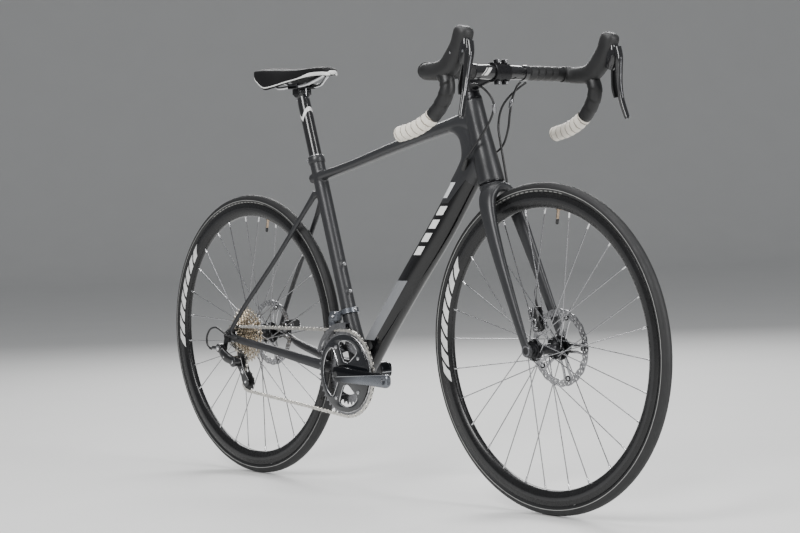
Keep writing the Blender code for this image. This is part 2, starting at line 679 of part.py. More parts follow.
def make_hoses(looks):
    front_hose = [
        (0.4000, 0.0700, 0.8830), (0.3920, 0.0600, 0.8740), (0.3780, 0.0430, 0.8560),
        (0.3650, 0.0300, 0.8300), (0.3620, 0.0230, 0.7950), (0.3688, 0.0200, 0.7650),
        (0.3776, 0.0195, 0.7240), (0.3865, 0.0200, 0.6870),
    ]
    cable("front_brake_hose", front_hose, 0.0024, looks["dark_plastic"], 3)
    right_housing = [
        (0.3600, -0.0500, 0.8805), (0.3800, -0.0460, 0.8770), (0.3980, -0.0360, 0.8600),
        (0.4030, -0.0260, 0.8370), (0.3930, -0.0240, 0.8110), (0.3730, -0.0290, 0.7810),
        (0.3440, -0.0320, 0.7510), (0.3120, -0.0300, 0.7240),
    ]
    cable("shift_housing_right", right_housing, 0.0024, looks["dark_plastic"], 3)
    left_housing = [
        (0.4060, 0.0480, 0.8830), (0.3960, 0.0460, 0.8730), (0.3880, 0.0400, 0.8490),
        (0.3850, 0.0350, 0.8190), (0.3800, 0.0330, 0.7860), (0.3620, 0.0330, 0.7530),
        (0.3280, 0.0310, 0.7330),
    ]
    cable("shift_housing_left", left_housing, 0.0024, looks["dark_plastic"], 3)
    rear_housing = [
        (-0.4830, -0.0840, 0.3350), (-0.4930, -0.0864, 0.3378), (-0.5080, -0.0872, 0.3420),
        (-0.5250, -0.0886, 0.3505), (-0.5430, -0.0900, 0.3570), (-0.5640, -0.0920, 0.3520),
        (-0.5780, -0.0930, 0.3340), (-0.5770, -0.0930, 0.3150), (-0.5620, -0.0930, 0.3075),
    ]
    cable("rear_shift_housing", rear_housing, 0.0024, looks["dark_plastic"], 3)


# ---------------------------------------------------------------- wheels

FLANGES = {"front": (-0.0330, 0.0240), "rear": (-0.0180, 0.0330)}
FLANGE_RADIUS = 0.0225
HUB_RADIUS = 0.0140


def make_spokes(name, axle, flange_y, looks):
    """Fourteen crossed spokes and the flange that holds them."""
    outer_y = math.copysign(0.0025, flange_y)
    flange = ring(
        axle + Y_AXIS * flange_y, Y_AXIS, HUB_RADIUS + 2 * GAP, FLANGE_RADIUS, -0.0022, 0.0022, 14
    )
    spokes = finish(name, flange, looks["black_alloy"], pivot=axle)
    phase = NIPPLE_PHASE[name.split("_")[0]] + (0.0 if flange_y < 0 else math.pi / SPOKES_PER_SIDE)
    parts = []
    for number in range(SPOKES_PER_SIDE):
        turn = 1 if number % 2 else -1
        rim_angle = phase + math.tau * number / SPOKES_PER_SIDE
        hub_angle = rim_angle + turn * math.radians(74)
        lean = 0.0012 * turn
        start = on_plane(hub_angle, FLANGE_RADIUS - 0.0035, axle, flange_y + lean)
        end = on_plane(rim_angle, RIM_INNER * math.cos(math.pi / WHEEL_STEPS) - 0.0010, axle, outer_y)
        along = (end - start).normalized()
        place = along.to_track_quat("Z", "Y").to_matrix()
        size = (SPOKE_THICKNESS, SPOKE_THICKNESS, (end - start).length)
        parts.append(block((start + end) / 2, size, place))
    unite(spokes, *parts)


def make_wheel(end, axle, looks):
    half = TYRE_WIDTH / 2
    crown = WHEEL_RADIUS - half
    wall = 0.0030
    arcs = [math.radians(a) for a in (-38, 0, 33, 64, 90, 116, 147, 180, 218)]
    outside = [(half * math.cos(a), crown + half * math.sin(a)) for a in arcs]
    inside = [((half - wall) * math.cos(a), crown + (half - wall) * math.sin(a)) for a in arcs[::-4]]
    tyre = turned(outside + inside, axle, Y_AXIS, WHEEL_STEPS, X_AXIS)
    finish(f"{end}_tyre", tyre, looks["rubber"], pivot=axle)

    rim_half = RIM_WIDTH / 2
    bed = 0.0080
    profile = [
        (-rim_half * 0.45, RIM_INNER), (-rim_half, RIM_INNER + 0.014), (-rim_half * 0.86, RIM_OUTER),
        (-bed, RIM_OUTER), (-bed, RIM_OUTER - 0.006), (bed, RIM_OUTER - 0.006), (bed, RIM_OUTER),
        (rim_half * 0.86, RIM_OUTER), (rim_half, RIM_INNER + 0.014), (rim_half * 0.45, RIM_INNER),
    ]
    rim = turned(profile, axle, Y_AXIS, WHEEL_STEPS, X_AXIS)
    finish(f"{end}_rim", rim, looks["black_alloy"], pivot=axle)

    for side, flange_y in zip(("right", "left"), FLANGES[end]):
        make_spokes(f"{end}_spokes_{side}", axle, flange_y, looks)


def make_hub(end, axle, low, high, rotor_y, looks):
    """A hub shell, which narrows to an end cap at the left, and at the right if it's the front one."""
    cap = 0.0095
    right = [(low, AXLE_BORE), (low, HUB_RADIUS)]
    if end == "front":
        right = [(low, AXLE_BORE), (low, cap), (low + 0.006, cap), (low + 0.008, HUB_RADIUS)]
    left = [(high - 0.008, HUB_RADIUS), (high - 0.006, cap), (high, cap), (high, AXLE_BORE)]
    hub = turned(right + left, axle, Y_AXIS, 14)
    finish(f"{end}_hub", hub, looks["black_alloy"], pivot=axle)
    middle = axle + Y_AXIS * rotor_y
    rotor = finish(
        f"{end}_rotor",
        ring(middle, Y_AXIS, 0.0640, ROTOR_RADIUS, -ROTOR_THICKNESS / 2, ROTOR_THICKNESS / 2, 32),
        looks["steel"], pivot=axle,
    )
    arms = []
    for number in range(5):
        angle = math.tau * number / 5
        centre = on_plane(angle, 0.0440, axle, rotor_y)
        turn = Matrix.Rotation(-angle, 3, "Y")
        arms.append(block(centre, (0.0480, ROTOR_THICKNESS * 0.9, 0.0090), turn))
    carrier = ring(middle, Y_AXIS, HUB_RADIUS + 2 * GAP, 0.0250, -0.0016, 0.0016, 14)
    unite(rotor, carrier, *arms)


CALIPER_SIZE = (0.026, 0.030, 0.054)


def make_axle(name, axle, low, high, head_radius, looks):
    """A thru-axle whose head bears on the left dropout."""
    head = high + 0.0070
    profile = [(low, 0), (low, AXLE_RADIUS), (high, AXLE_RADIUS), (high, head_radius),
               (head, head_radius * 0.9), (head, 0)]
    finish(name, turned(profile, axle, Y_AXIS, 12), looks["black_alloy"])


def make_caliper(name, centre, lean, rotor_y, looks):
    """A brake caliper with a slot for the rotor, which opens towards the axle."""
    turn = Matrix.Rotation(math.radians(lean), 3, "Y")
    caliper = finish(name, softened(block(centre, CALIPER_SIZE, turn), 0.003), looks["dark_plastic"])
    axle = FRONT_AXLE if centre.x > 0 else REAR_AXLE
    inward = (axle - centre).normalized()
    inward.y = 0
    slot_centre = Vector((centre.x, rotor_y, centre.z)) + inward * 0.012
    slot_turn = inward.to_track_quat("X", "Z").to_matrix()
    cut(caliper, block(slot_centre, (0.0420, 0.0050, 0.0900), slot_turn))


# ---------------------------------------------------------------- transmission

def make_cranks(looks):
    forward = Vector((math.cos(CRANK_ANGLE), 0, math.sin(CRANK_ANGLE)))
    upright = Vector((-forward.z, 0, forward.x))
    for side, name, way in ((-1, "right", 1), (1, "left", -1)):
        reach = forward * way
        line = [
            (BOTTOM_BRACKET + Y_AXIS * side * 0.0690 - reach * 0.014, 0.0060, 0.0110),
            (BOTTOM_BRACKET + Y_AXIS * side * 0.0700 + reach * 0.004, 0.0085, 0.0184),
            (BOTTOM_BRACKET + Y_AXIS * side * 0.0715 + reach * 0.050, 0.0085, 0.0167),
            (BOTTOM_BRACKET + Y_AXIS * side * CRANK_Y + reach * 0.110, 0.0075, 0.0149),
            (BOTTOM_BRACKET + Y_AXIS * side * CRANK_Y + reach * 0.168, 0.0065, 0.0157),
            (BOTTOM_BRACKET + Y_AXIS * side * CRANK_Y + reach * 0.1845, 0.0060, 0.0105),
        ]
        arm = finish(
            f"crank_arm_{name}", swept(line, upright, 1, 10, 3.0), looks["crank_grey"],
            pivot=BOTTOM_BRACKET,
        )
        boss = [(0.0430, 0.0), (0.0430, 0.0200), (0.0640, 0.0200), (0.0640, 0.0)]
        unite(arm, turned(boss, BOTTOM_BRACKET, Y_AXIS * side, 16))
        if side < 0:
            unite(arm, *spider())
        pedal = BOTTOM_BRACKET + reach * CRANK_LENGTH
        unite(arm, rod(pedal + Y_AXIS * side * 0.0700, pedal + Y_AXIS * side * PEDAL_FACE, 0.0118, 14))
        cut(
            arm,
            rod(pedal + Y_AXIS * side * 0.05, pedal + Y_AXIS * side * 0.10, 0.0071, 12),
            rod(BOTTOM_BRACKET + Y_AXIS * side * 0.03, BOTTOM_BRACKET + Y_AXIS * side * 0.066, 0.0124),
        )
    spindle = rod(BOTTOM_BRACKET - Y_AXIS * 0.0655, BOTTOM_BRACKET + Y_AXIS * 0.0655, 0.0118, 14)
    finish("crank_spindle", spindle, looks["steel"], pivot=BOTTOM_BRACKET)


def spider():
    """Four arms from the right crank to the chainring bolts, thin where they pass between the rings."""
    parts = []
    thin_y = (BIG_RING_Y + SMALL_RING_Y) / 2
    for degrees in SPIDER_ANGLES:
        angle = CRANK_ANGLE + math.radians(degrees)
        out = Vector((math.cos(angle), 0, math.sin(angle)))
        across = Vector((-out.z, 0, out.x))
        arm = [
            (BOTTOM_BRACKET + out * 0.010 - Y_AXIS * 0.0530, 0.0070, 0.0130),
            (BOTTOM_BRACKET + out * 0.032 - Y_AXIS * 0.0505, 0.0050, 0.0100),
            (BOTTOM_BRACKET + out * 0.048 - Y_AXIS * 0.0462, 0.0036, 0.0080),
        ]
        parts.append(swept(arm, across, 1, 8, 3.0))
        tab = BOTTOM_BRACKET + out * BOLT_CIRCLE + Y_AXIS * thin_y
        parts.append(rod(tab - Y_AXIS * 0.0023, tab + Y_AXIS * 0.0023, 0.0085, 10))
        root = BOTTOM_BRACKET + out * 0.0470 + Y_AXIS * thin_y
        parts.append(block(root, (0.0160, 0.0044, 0.0140), Matrix.Rotation(-angle, 3, "Y")))
    return parts


def make_chainrings(looks):
    rings = (
        ("outer", BIG_RING_TEETH, BIG_RING_Y, 0.0530), ("inner", SMALL_RING_TEETH, SMALL_RING_Y, 0.0480),
    )
    for name, teeth, y, inner in rings:
        outer = pitch_radius(teeth) - 0.0020
        disc = ring(BOTTOM_BRACKET + Y_AXIS * y, Y_AXIS, inner, outer, -0.0009, 0.0009, 36)
        finish(f"chainring_{name}", disc, looks["crank_grey"], pivot=BOTTOM_BRACKET)


def make_cassette(looks):
    """The sprockets on their freehub body, which turns with them round the axle."""
    smallest = pitch_radius(SPROCKET_TEETH[0]) - 0.0024
    face = SMALL_SPROCKET_Y - 0.0009
    end = face - 0.0066
    profile = [
        (end, AXLE_BORE), (end, 0.0095), (face, 0.0120), (face, smallest),
        (face + 0.0018, smallest), (face + 0.0018, 0.0172),
    ]
    for number, teeth in enumerate(SPROCKET_TEETH[1:], 1):
        middle = SMALL_SPROCKET_Y + SPROCKET_SPACING * number
        radius = pitch_radius(teeth)
        profile += [(middle - 0.0003, radius), (middle + SPROCKET_SPACING - 0.0003, radius)]
    profile.insert(6, (profile[6][0], 0.0172))
    profile[-1] = (middle + 0.0009, radius)
    profile.append((middle + 0.0009, AXLE_BORE))
    sprockets = turned(profile, REAR_AXLE, Y_AXIS, 20)
    finish("cassette_sprockets", sprockets, looks["steel"], pivot=REAR_AXLE)


def belt(wheels):
    """(start, end) of each straight run of a belt round wheels of (centre, radius, turn), and the turn."""
    runs = []
    for number, (centre, radius, turn) in enumerate(wheels):
        other, other_radius, other_turn = wheels[(number + 1) % len(wheels)]
        between = Vector((other.x - centre.x, other.z - centre.z))
        heading = math.atan2(between.y, between.x)
        heading += math.asin((turn * radius - other_turn * other_radius) / between.length)
        outward = heading - math.pi / 2
        first = outward if turn > 0 else outward + math.pi
        second = outward if other_turn > 0 else outward + math.pi
        leave = on_plane(first, radius, centre, centre.y)
        runs.append((leave, on_plane(second, other_radius, other, other.y)))
    return runs


def chain_line():
    """The chain's closed centre line: over the big ring, the small sprocket and both pulleys."""
    ring_centre = Vector((BOTTOM_BRACKET.x, BIG_RING_Y, BOTTOM_BRACKET.z))
    sprocket = Vector((REAR_AXLE.x, SMALL_SPROCKET_Y, REAR_AXLE.z))
    small = pitch_radius(PULLEY_TEETH)
    wheels = [
        (ring_centre, pitch_radius(BIG_RING_TEETH), 1), (sprocket, pitch_radius(SPROCKET_TEETH[0]), 1),
        (GUIDE_PULLEY, small, -1), (TENSION_PULLEY, small, 1),
    ]
    runs = belt(wheels)
    points = []
    for place, (centre, radius, turn) in enumerate(wheels):
        arrive, leave = runs[place - 1][1], runs[place][0]
        start = math.atan2(arrive.z - centre.z, arrive.x - centre.x)
        end = math.atan2(leave.z - centre.z, leave.x - centre.x)
        sweep = (end - start) % math.tau if turn > 0 else -((start - end) % math.tau)
        steps = max(3, round(abs(sweep) / math.radians(16 if radius > 0.05 else 34)))
        angles = [start + sweep * number / steps for number in range(steps + 1)]
        points += [on_plane(angle, radius, centre, centre.y) for angle in angles]
        start_run, end_run = runs[place]
        if abs(start_run.y - end_run.y) > 0.001:
            guided = GUIDED / (end_run - start_run).length
            for share, plane in ((guided, start_run.y), (1 - guided, end_run.y)):
                point = start_run.lerp(end_run, share)
                points.append(Vector((point.x, plane, point.z)))
    return points


def make_chain(looks):
    """A closed loop whose section is an H: two side plates joined by a web, open where teeth enter."""
    plate_in, plate_out, half_height, web = 0.0013, 0.0027, 0.0042, 0.0007
    section = [
        (plate_out, half_height), (plate_in, half_height), (plate_in, web), (-plate_in, web),
        (-plate_in, half_height), (-plate_out, half_height), (-plate_out, -half_height),
        (-plate_in, -half_height), (-plate_in, -web), (plate_in, -web), (plate_in, -half_height),
        (plate_out, -half_height),
    ]
    line = chain_line()
    rings = []
    for number, point in enumerate(line):
        tangent = (line[(number + 1) % len(line)] - line[number - 1]).normalized()
        out = Vector((-tangent.z, 0, tangent.x)).normalized()
        rings.append([point + Y_AXIS * across + out * rise for across, rise in section])
    mesh = bmesh.new()
    bridged(mesh, rings, closed=True)
    finish("chain", mesh, looks["chain_steel"])


def make_front_derailleur(looks):
    centre = seat_point(0.1405)
    mount = finish(
        "front_derailleur_mount", ring(centre, SEAT_AXIS, 0.0200, 0.0232, -0.006, 0.006, 14),
        looks["black_alloy"],
    )
    unite(
        mount,
        softened(block(Vector((-0.1480, -0.0282, 0.3900)), (0.0300, 0.0180, 0.0240)), 0.002),
        softened(block(Vector((-0.1580, -0.0310, 0.3760)), (0.0220, 0.0100, 0.0300)), 0.002),
    )
    rise = pitch_radius(BIG_RING_TEETH) + 0.0065
    outer_plate, inner_plate = [], []
    for degrees in (84, 96, 108, 120, 132, 144, 154):
        top = rise + 0.0105 - 0.00014 * max(degrees - 110, 0)
        outer_plate.append(cage_piece(degrees, rise - 0.0035, top, -0.0530, -0.0518))
        inner_plate.append(cage_piece(degrees, rise - 0.0020, top, -0.0404, -0.0392))
    cage = finish("front_derailleur_cage", loft(outer_plate), looks["steel"])
    bridge = [cage_piece(angle, rise + 0.0085, rise + 0.0097, -0.0525, -0.0397) for angle in (86, 95, 104)]
    tail = [cage_piece(angle, rise + 0.0010, rise + 0.0022, -0.0525, -0.0397) for angle in (147, 153)]
    unite(cage, loft(inner_plate), loft(bridge), loft(tail))


def cage_piece(degrees, low, high, y_low, y_high):
    """One cross section of the cage at an angle round the bottom bracket."""
    angle = math.radians(degrees)
    corners = ((low, y_low), (high, y_low), (high, y_high), (low, y_high))
    return [on_plane(angle, radius, BOTTOM_BRACKET, y) for radius, y in corners]


def make_rear_derailleur(looks):
    knuckle = Vector((-0.5210, 0, 0.3085))
    near, far = -0.0838, -0.1010
    body = finish(
        "rear_derailleur_body",
        rod(knuckle + Y_AXIS * near, knuckle + Y_AXIS * far, 0.0110, 14), looks["dark_plastic"],
    )
    guide = Vector((GUIDE_PULLEY.x, 0, GUIDE_PULLEY.z))
    tail = Vector((-0.5560, 0, 0.3080))
    link = [
        (knuckle + Y_AXIS * -0.0930 - Z_AXIS * 0.002, 0.0070, 0.0095),
        ((knuckle + guide) / 2 + Y_AXIS * -0.0925 - Z_AXIS * 0.004, 0.0075, 0.0120),
        (guide + Y_AXIS * -0.0850 + X_AXIS * 0.002, 0.0065, 0.0100),
    ]
    unite(
        body,
        rod(guide + Y_AXIS * -0.0722, guide + Y_AXIS * -0.0900, 0.0135, 14),
        swept(link, Z_AXIS, 1, 8, 2.6),
        rod(knuckle + Y_AXIS * -0.0930, tail + Y_AXIS * -0.0930 + X_AXIS * 0.0010, 0.0050, 8),
    )

    plates = []
    for y_low, y_high in ((-0.0718, -0.0702), (-0.0552, -0.0538)):
        plates.append([
            (GUIDE_PULLEY, y_low, y_high, 0.0125), (TENSION_PULLEY, y_low, y_high, 0.0125),
        ])
    along = TENSION_PULLEY - GUIDE_PULLEY
    turn = Matrix.Rotation(-math.atan2(along.z, along.x), 3, "Y")
    parts = []
    for plate in plates:
        for centre, y_low, y_high, radius in plate:
            flat = Vector((centre.x, 0, centre.z))
            parts.append(rod(flat + Y_AXIS * y_low, flat + Y_AXIS * y_high, radius, 12))
        middle = (GUIDE_PULLEY + TENSION_PULLEY) / 2
        middle.y = (plate[0][1] + plate[0][2]) / 2
        parts.append(block(middle, (along.length, (plate[0][2] - plate[0][1]) * 0.96, 0.0170), turn))
    for centre in (GUIDE_PULLEY, TENSION_PULLEY):
        flat = Vector((centre.x, 0, centre.z))
        parts.append(rod(flat + Y_AXIS * -0.0710, flat + Y_AXIS * -0.0545, 0.0026, 8))
    cage = finish("rear_derailleur_cage", parts[0], looks["dark_plastic"], pivot=GUIDE_PULLEY)
    unite(cage, *parts[1:])
    for name, centre in (("guide_pulley", GUIDE_PULLEY), ("tension_pulley", TENSION_PULLEY)):
        radius = pitch_radius(PULLEY_TEETH) - 0.0028
        pulley = ring(centre, Y_AXIS, 0.0030, radius, -0.0009, 0.0009, 16)
        finish(name, pulley, looks["dark_plastic"], pivot=centre)


# ---------------------------------------------------------------- assembly

def main():
    for old in list(bpy.data.objects):
        bpy.data.objects.remove(old, do_unlink=True)
    looks = make_looks()
    make_frame(looks)
    make_frame_fittings(looks)
    saddle_pivot = make_seat_post(looks)
    make_saddle(looks, saddle_pivot)
    make_fork(looks)
    make_stem(looks)
    make_handlebar(looks)
    make_hoods(looks)
    make_levers(looks)
    make_hoses(looks)
    make_wheel("front", FRONT_AXLE, looks)
    make_wheel("rear", REAR_AXLE, looks)
    make_hub("front", FRONT_AXLE, -0.0495, 0.0495, 0.0395, looks)
    make_hub("rear", REAR_AXLE, -0.0222, 0.0705, 0.0520, looks)
    make_axle("front_thru_axle", FRONT_AXLE, -0.0560, 0.0574, 0.0095, looks)
    make_axle("rear_thru_axle", REAR_AXLE, -0.0820, 0.0784, 0.0095, looks)
    make_caliper("front_brake_caliper", Vector((0.4440, 0.0410, 0.3930)), -20, 0.0395, looks)
    make_caliper("rear_brake_caliper", Vector((-0.4330, 0.0520, 0.3560)), 80, 0.0520, looks)
    make_cranks(looks)
    make_chainrings(looks)
    make_cassette(looks)
    make_chain(looks)
    make_front_derailleur(looks)
    make_rear_derailleur(looks)


main()
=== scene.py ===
"""Looks of the drop-bar road bicycle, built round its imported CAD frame.

Metres, in the frame of the CAD: X forward, Y to the rider's left, Z up, the ground at Z = 0.
"""

import json
import math

import bmesh
import bpy
from mathutils import Matrix, Vector


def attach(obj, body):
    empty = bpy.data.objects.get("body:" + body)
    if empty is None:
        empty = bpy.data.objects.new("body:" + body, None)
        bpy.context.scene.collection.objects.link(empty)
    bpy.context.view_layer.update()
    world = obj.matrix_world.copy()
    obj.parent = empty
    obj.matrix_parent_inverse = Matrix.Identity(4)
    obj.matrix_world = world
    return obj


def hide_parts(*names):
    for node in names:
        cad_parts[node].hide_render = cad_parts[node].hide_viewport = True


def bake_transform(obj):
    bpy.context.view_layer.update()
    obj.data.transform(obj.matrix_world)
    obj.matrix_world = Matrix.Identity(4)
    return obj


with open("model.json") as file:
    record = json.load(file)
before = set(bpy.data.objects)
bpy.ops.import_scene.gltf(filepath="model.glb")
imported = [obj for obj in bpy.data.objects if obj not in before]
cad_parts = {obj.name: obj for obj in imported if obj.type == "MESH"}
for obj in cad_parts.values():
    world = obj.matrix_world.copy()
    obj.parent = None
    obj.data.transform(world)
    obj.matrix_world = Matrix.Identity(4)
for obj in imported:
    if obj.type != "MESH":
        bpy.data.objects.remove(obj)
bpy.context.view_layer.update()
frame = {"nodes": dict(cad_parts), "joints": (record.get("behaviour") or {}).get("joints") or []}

X_AXIS, Y_AXIS, Z_AXIS = Vector((1, 0, 0)), Vector((0, 1, 0)), Vector((0, 0, 1))
JOINTS = {joint["name"]: joint for joint in frame["joints"]}


def joint_point(name):
    return Vector(JOINTS[name]["pos_m"])


FRONT_AXLE = joint_point("front_wheel_spin")
REAR_AXLE = joint_point("rear_wheel_spin")
BOTTOM_BRACKET = joint_point("crank_spin")
GUIDE_PULLEY = joint_point("guide_pulley_spin")
TENSION_PULLEY = joint_point("tension_pulley_spin")
SADDLE_PIVOT = joint_point("saddle_tilt")
STEER_POINT = joint_point("steering")
STEER_AXIS = Vector(JOINTS["steering"]["axis"]).normalized()
SEAT_AXIS = Vector(JOINTS["seat_post_height"]["axis"]).normalized()
BAR_CENTRE = Vector((0.393, 0, 0.903))
WHEEL_RADIUS = FRONT_AXLE.z
LINK_PITCH = 0.0127
BIG_RING_TEETH, SMALL_RING_TEETH = 48, 34
SPROCKET_TEETH = (11, 12, 13, 14, 16, 18, 20, 22, 25, 28, 32)
BIG_RING_Y, SMALL_RING_Y = -0.0460, -0.0385
SMALL_SPROCKET_Y, SPROCKET_SPACING = -0.0625, 0.0039
CRANK_ANGLE = math.radians(-2.3)
MECH_KNUCKLE = Vector((-0.5210, 0, 0.3085))
AXLE_HOLE = 0.0063
BOTTLE_BOSSES = (0.185, 0.249)
CORD_RADIUS = 0.0024
SPOKES_PER_SIDE = 14
SIDES = ((-1, "right"), (1, "left"))


def seat_point(distance):
    return BOTTOM_BRACKET + SEAT_AXIS * distance


def steer_at(distance):
    return STEER_POINT + STEER_AXIS * distance


# ---------------------------------------------------------------- camera, light and floor

CAMERA_TURN = 50.507


def make_camera():
    distance, target = 4.2111, Vector((0.0536, 0, 0.5023))
    data = bpy.data.cameras.new("camera")
    data.lens = 86.17
    data.sensor_width = 36
    data.clip_end = 50
    turn, rise, roll = math.radians(CAMERA_TURN), math.radians(1.798), math.radians(-1.866)
    back = Vector((math.sin(turn) * math.cos(rise), -math.cos(turn) * math.cos(rise), math.sin(rise)))
    right = (-back).cross(Z_AXIS).normalized()
    up = right.cross(-back)
    rolled_right = right * math.cos(roll) + up * math.sin(roll)
    rolled_up = -right * math.sin(roll) + up * math.cos(roll)
    camera = bpy.data.objects.new("camera", data)
    matrix = Matrix((rolled_right, rolled_up, back)).transposed().to_4x4()
    matrix.translation = target + back * distance
    camera.matrix_world = matrix
    bpy.context.scene.collection.objects.link(camera)
    bpy.context.scene.camera = camera


def area_light(name, place, target, size, power, colour=(1, 1, 1)):
    data = bpy.data.lights.new(name, "AREA")
    data.shape = "RECTANGLE"
    data.size, data.size_y = size
    data.energy = power
    data.color = colour
    light = bpy.data.objects.new(name, data)
    light.location = place
    light.rotation_euler = (Vector(target) - Vector(place)).to_track_quat("-Z", "Y").to_euler()
    bpy.context.scene.collection.objects.link(light)


def make_stage():
    world = bpy.data.worlds.new("studio")
    bpy.context.scene.world = world
    world.use_nodes = True
    sky = world.node_tree.nodes["Background"].inputs
    sky["Color"].default_value = (0.80, 0.82, 0.85, 1)
    sky["Strength"].default_value = 0.34
    area_light("key", (1.2, -3.4, 3.2), (0, 0, 0.5), (1.3, 2.6), 190)
    area_light("side", (3.6, 0.8, 1.8), (0.2, 0, 0.5), (0.9, 2.8), 95)
    area_light("back", (-2.6, 2.6, 2.6), (0, 0, 0.5), (3.0, 1.2), 120)
    area_light("top", (0.0, 0.0, 3.6), (0, 0, 0), (3.2, 1.4), 75)

    floor = bmesh.new()
    width, near, far, bend, height = 22.0, -16.0, 13.0, 4.0, 14.0
    profile = [(near, 0.0), (far, 0.0)]
    for k in range(1, 13):
        angle = math.pi / 2 * k / 12
        profile.append((far + bend * math.sin(angle), bend - bend * math.cos(angle)))
    profile.append((far + bend, height))
    back = Vector((-math.sin(math.radians(50.5)), math.cos(math.radians(50.5)), 0))
    side = Vector((back.y, -back.x, 0))
    rows = [
        [floor.verts.new(back * y + side * x + Z_AXIS * (z - 0.0005)) for x in (-width, width)]
        for y, z in profile
    ]
    for first, second in zip(rows, rows[1:]):
        floor.faces.new((first[0], first[1], second[1], second[0]))
    ground = stood("studio_floor", floor)
    ground.data.shade_smooth()
    look = Look("floor_paper", (0.74, 0.74, 0.73), 0.62)
    look.vary(look.noise(3.0, 3), 0.012)
    ground.data.materials.append(look.material)


# ---------------------------------------------------------------- materials

class Look:
    """A Principled material whose colour, roughness and bump come from procedural nodes."""

    def __init__(self, name, colour, roughness=0.5, metallic=0.0, coat=0.0, coat_roughness=0.1,
                 sheen=0.0, specular=0.5):
        self.material = bpy.data.materials.new(name)
        self.material.use_nodes = True
        self.tree = self.material.node_tree
        self.shader = self.tree.nodes["Principled BSDF"]
        self.colour = colour
        self.roughness = roughness
        self.set("Base Color", (*colour, 1))
        self.set("Roughness", roughness)
        self.set("Metallic", metallic)
        self.set("Coat Weight", coat)
        self.set("Coat Roughness", coat_roughness)
        self.set("Sheen Weight", sheen)
        self.set("Specular IOR Level", specular)
        self.bump_nodes = []

    def set(self, socket, value):
        self.shader.inputs[socket].default_value = value

    def node(self, kind, **values):
        made = self.tree.nodes.new(kind)
        for key, value in values.items():
            setattr(made, key, value)
        return made

    def link(self, source, target):
        self.tree.links.new(source, target)

    def feed(self, socket, value):
        if isinstance(value, (int, float)):
            socket.default_value = value
        elif isinstance(value, (tuple, list, Vector)):
            socket.default_value = tuple(value)
        else:
            self.link(value, socket)

    def math(self, operation, first, second=0.0, third=0.0):
        made = self.node("ShaderNodeMath", operation=operation)
        for socket, value in zip(made.inputs, (first, second, third)):
            self.feed(socket, value)
        return made.outputs[0]

    def times(self, *values):
        product = values[0]
        for value in values[1:]:
            product = self.math("MULTIPLY", product, value)
        return product

    def add(self, first, second):
        return self.math("ADD", first, second)

    def minus(self, first, second):
        return self.math("SUBTRACT", first, second)

    def size(self, value):
        return self.math("ABSOLUTE", value)

    def wheel_axes(self, axle):
        """A point's X, Y and Z from an axle, and its distance from the axle's line."""
        x, y, z = self.axes(tuple(-Vector(axle)))
        return x, y, z, self.math("SQRT", self.add(self.times(x, x), self.times(z, z)))

    def place(self, offset=(0, 0, 0)):
        """Object coordinates, which are the CAD's own at rest, moved by offset."""
        if not hasattr(self, "coordinates"):
            self.coordinates = self.node("ShaderNodeTexCoord").outputs["Object"]
        mapping = self.node("ShaderNodeMapping")
        self.link(self.coordinates, mapping.inputs["Vector"])
        mapping.inputs["Location"].default_value = offset
        return mapping.outputs[0]

    def axes(self, offset=(0, 0, 0)):
        split = self.node("ShaderNodeSeparateXYZ")
        self.link(self.place(offset=offset), split.inputs[0])
        return split.outputs

    def along(self, origin, direction):
        """The distance of a point along a direction from an origin."""
        product = self.node("ShaderNodeVectorMath", operation="DOT_PRODUCT")
        self.link(self.place(offset=tuple(-Vector(origin))), product.inputs[0])
        product.inputs[1].default_value = tuple(Vector(direction).normalized())
        return product.outputs["Value"]

    def noise(self, scale, detail):
        made = self.node("ShaderNodeTexNoise")
        self.link(self.place(), made.inputs["Vector"])
        made.inputs["Scale"].default_value = scale
        made.inputs["Detail"].default_value = detail
        return made.outputs["Fac"]

    def cells(self, scale):
        made = self.node("ShaderNodeTexVoronoi", feature="F1")
        self.link(self.place(), made.inputs["Vector"])
        made.inputs["Scale"].default_value = scale
        return made.outputs["Distance"]

    def ramp(self, value, low, high, low_out=0.0, high_out=1.0):
        made = self.node("ShaderNodeMapRange", clamp=True)
        for socket, number in zip(made.inputs, (value, low, high, low_out, high_out)):
            self.feed(socket, number)
        return made.outputs[0]

    def band(self, value, low, high, soft=0.0004):
        """1 between low and high, 0 outside."""
        rise = self.ramp(value, low - soft, low + soft)
        fall = self.ramp(value, high - soft, high + soft, 1.0, 0.0)
        return self.times(rise, fall)

    def mix(self, factor, first, second):
        made = self.node("ShaderNodeMix", data_type="RGBA")
        self.feed(made.inputs["Factor"], factor)
        self.feed(made.inputs["A"], (*first, 1) if isinstance(first, tuple) else first)
        self.feed(made.inputs["B"], (*second, 1) if isinstance(second, tuple) else second)
        return made.outputs["Result"]

    def colour_source(self):
        links = self.shader.inputs["Base Color"].links
        return links[0].from_socket if links else tuple(self.colour)

    def rough_source(self):
        links = self.shader.inputs["Roughness"].links
        return links[0].from_socket if links else self.shader.inputs["Roughness"].default_value

    def paint(self, factor, colour, roughness=None):
        """Another colour, and roughness, where factor is 1."""
        self.link(self.mix(factor, self.colour_source(), colour), self.shader.inputs["Base Color"])
        if roughness is not None:
            made = self.node("ShaderNodeMix", data_type="FLOAT")
            self.feed(made.inputs["Factor"], factor)
            self.feed(made.inputs["A"], self.rough_source())
            self.feed(made.inputs["B"], roughness)
            self.link(made.outputs["Result"], self.shader.inputs["Roughness"])
        return self

    def vary(self, value, amount):
        """Lighter and darker by amount with a 0 to 1 value."""
        shade = self.ramp(value, 0.25, 0.75, 1.0 - amount, 1.0 + amount)
        made = self.node("ShaderNodeVectorMath", operation="SCALE")
        self.feed(made.inputs[0], self.colour_source())
        self.link(shade, made.inputs["Scale"])
        self.link(made.outputs[0], self.shader.inputs["Base Color"])
        return self

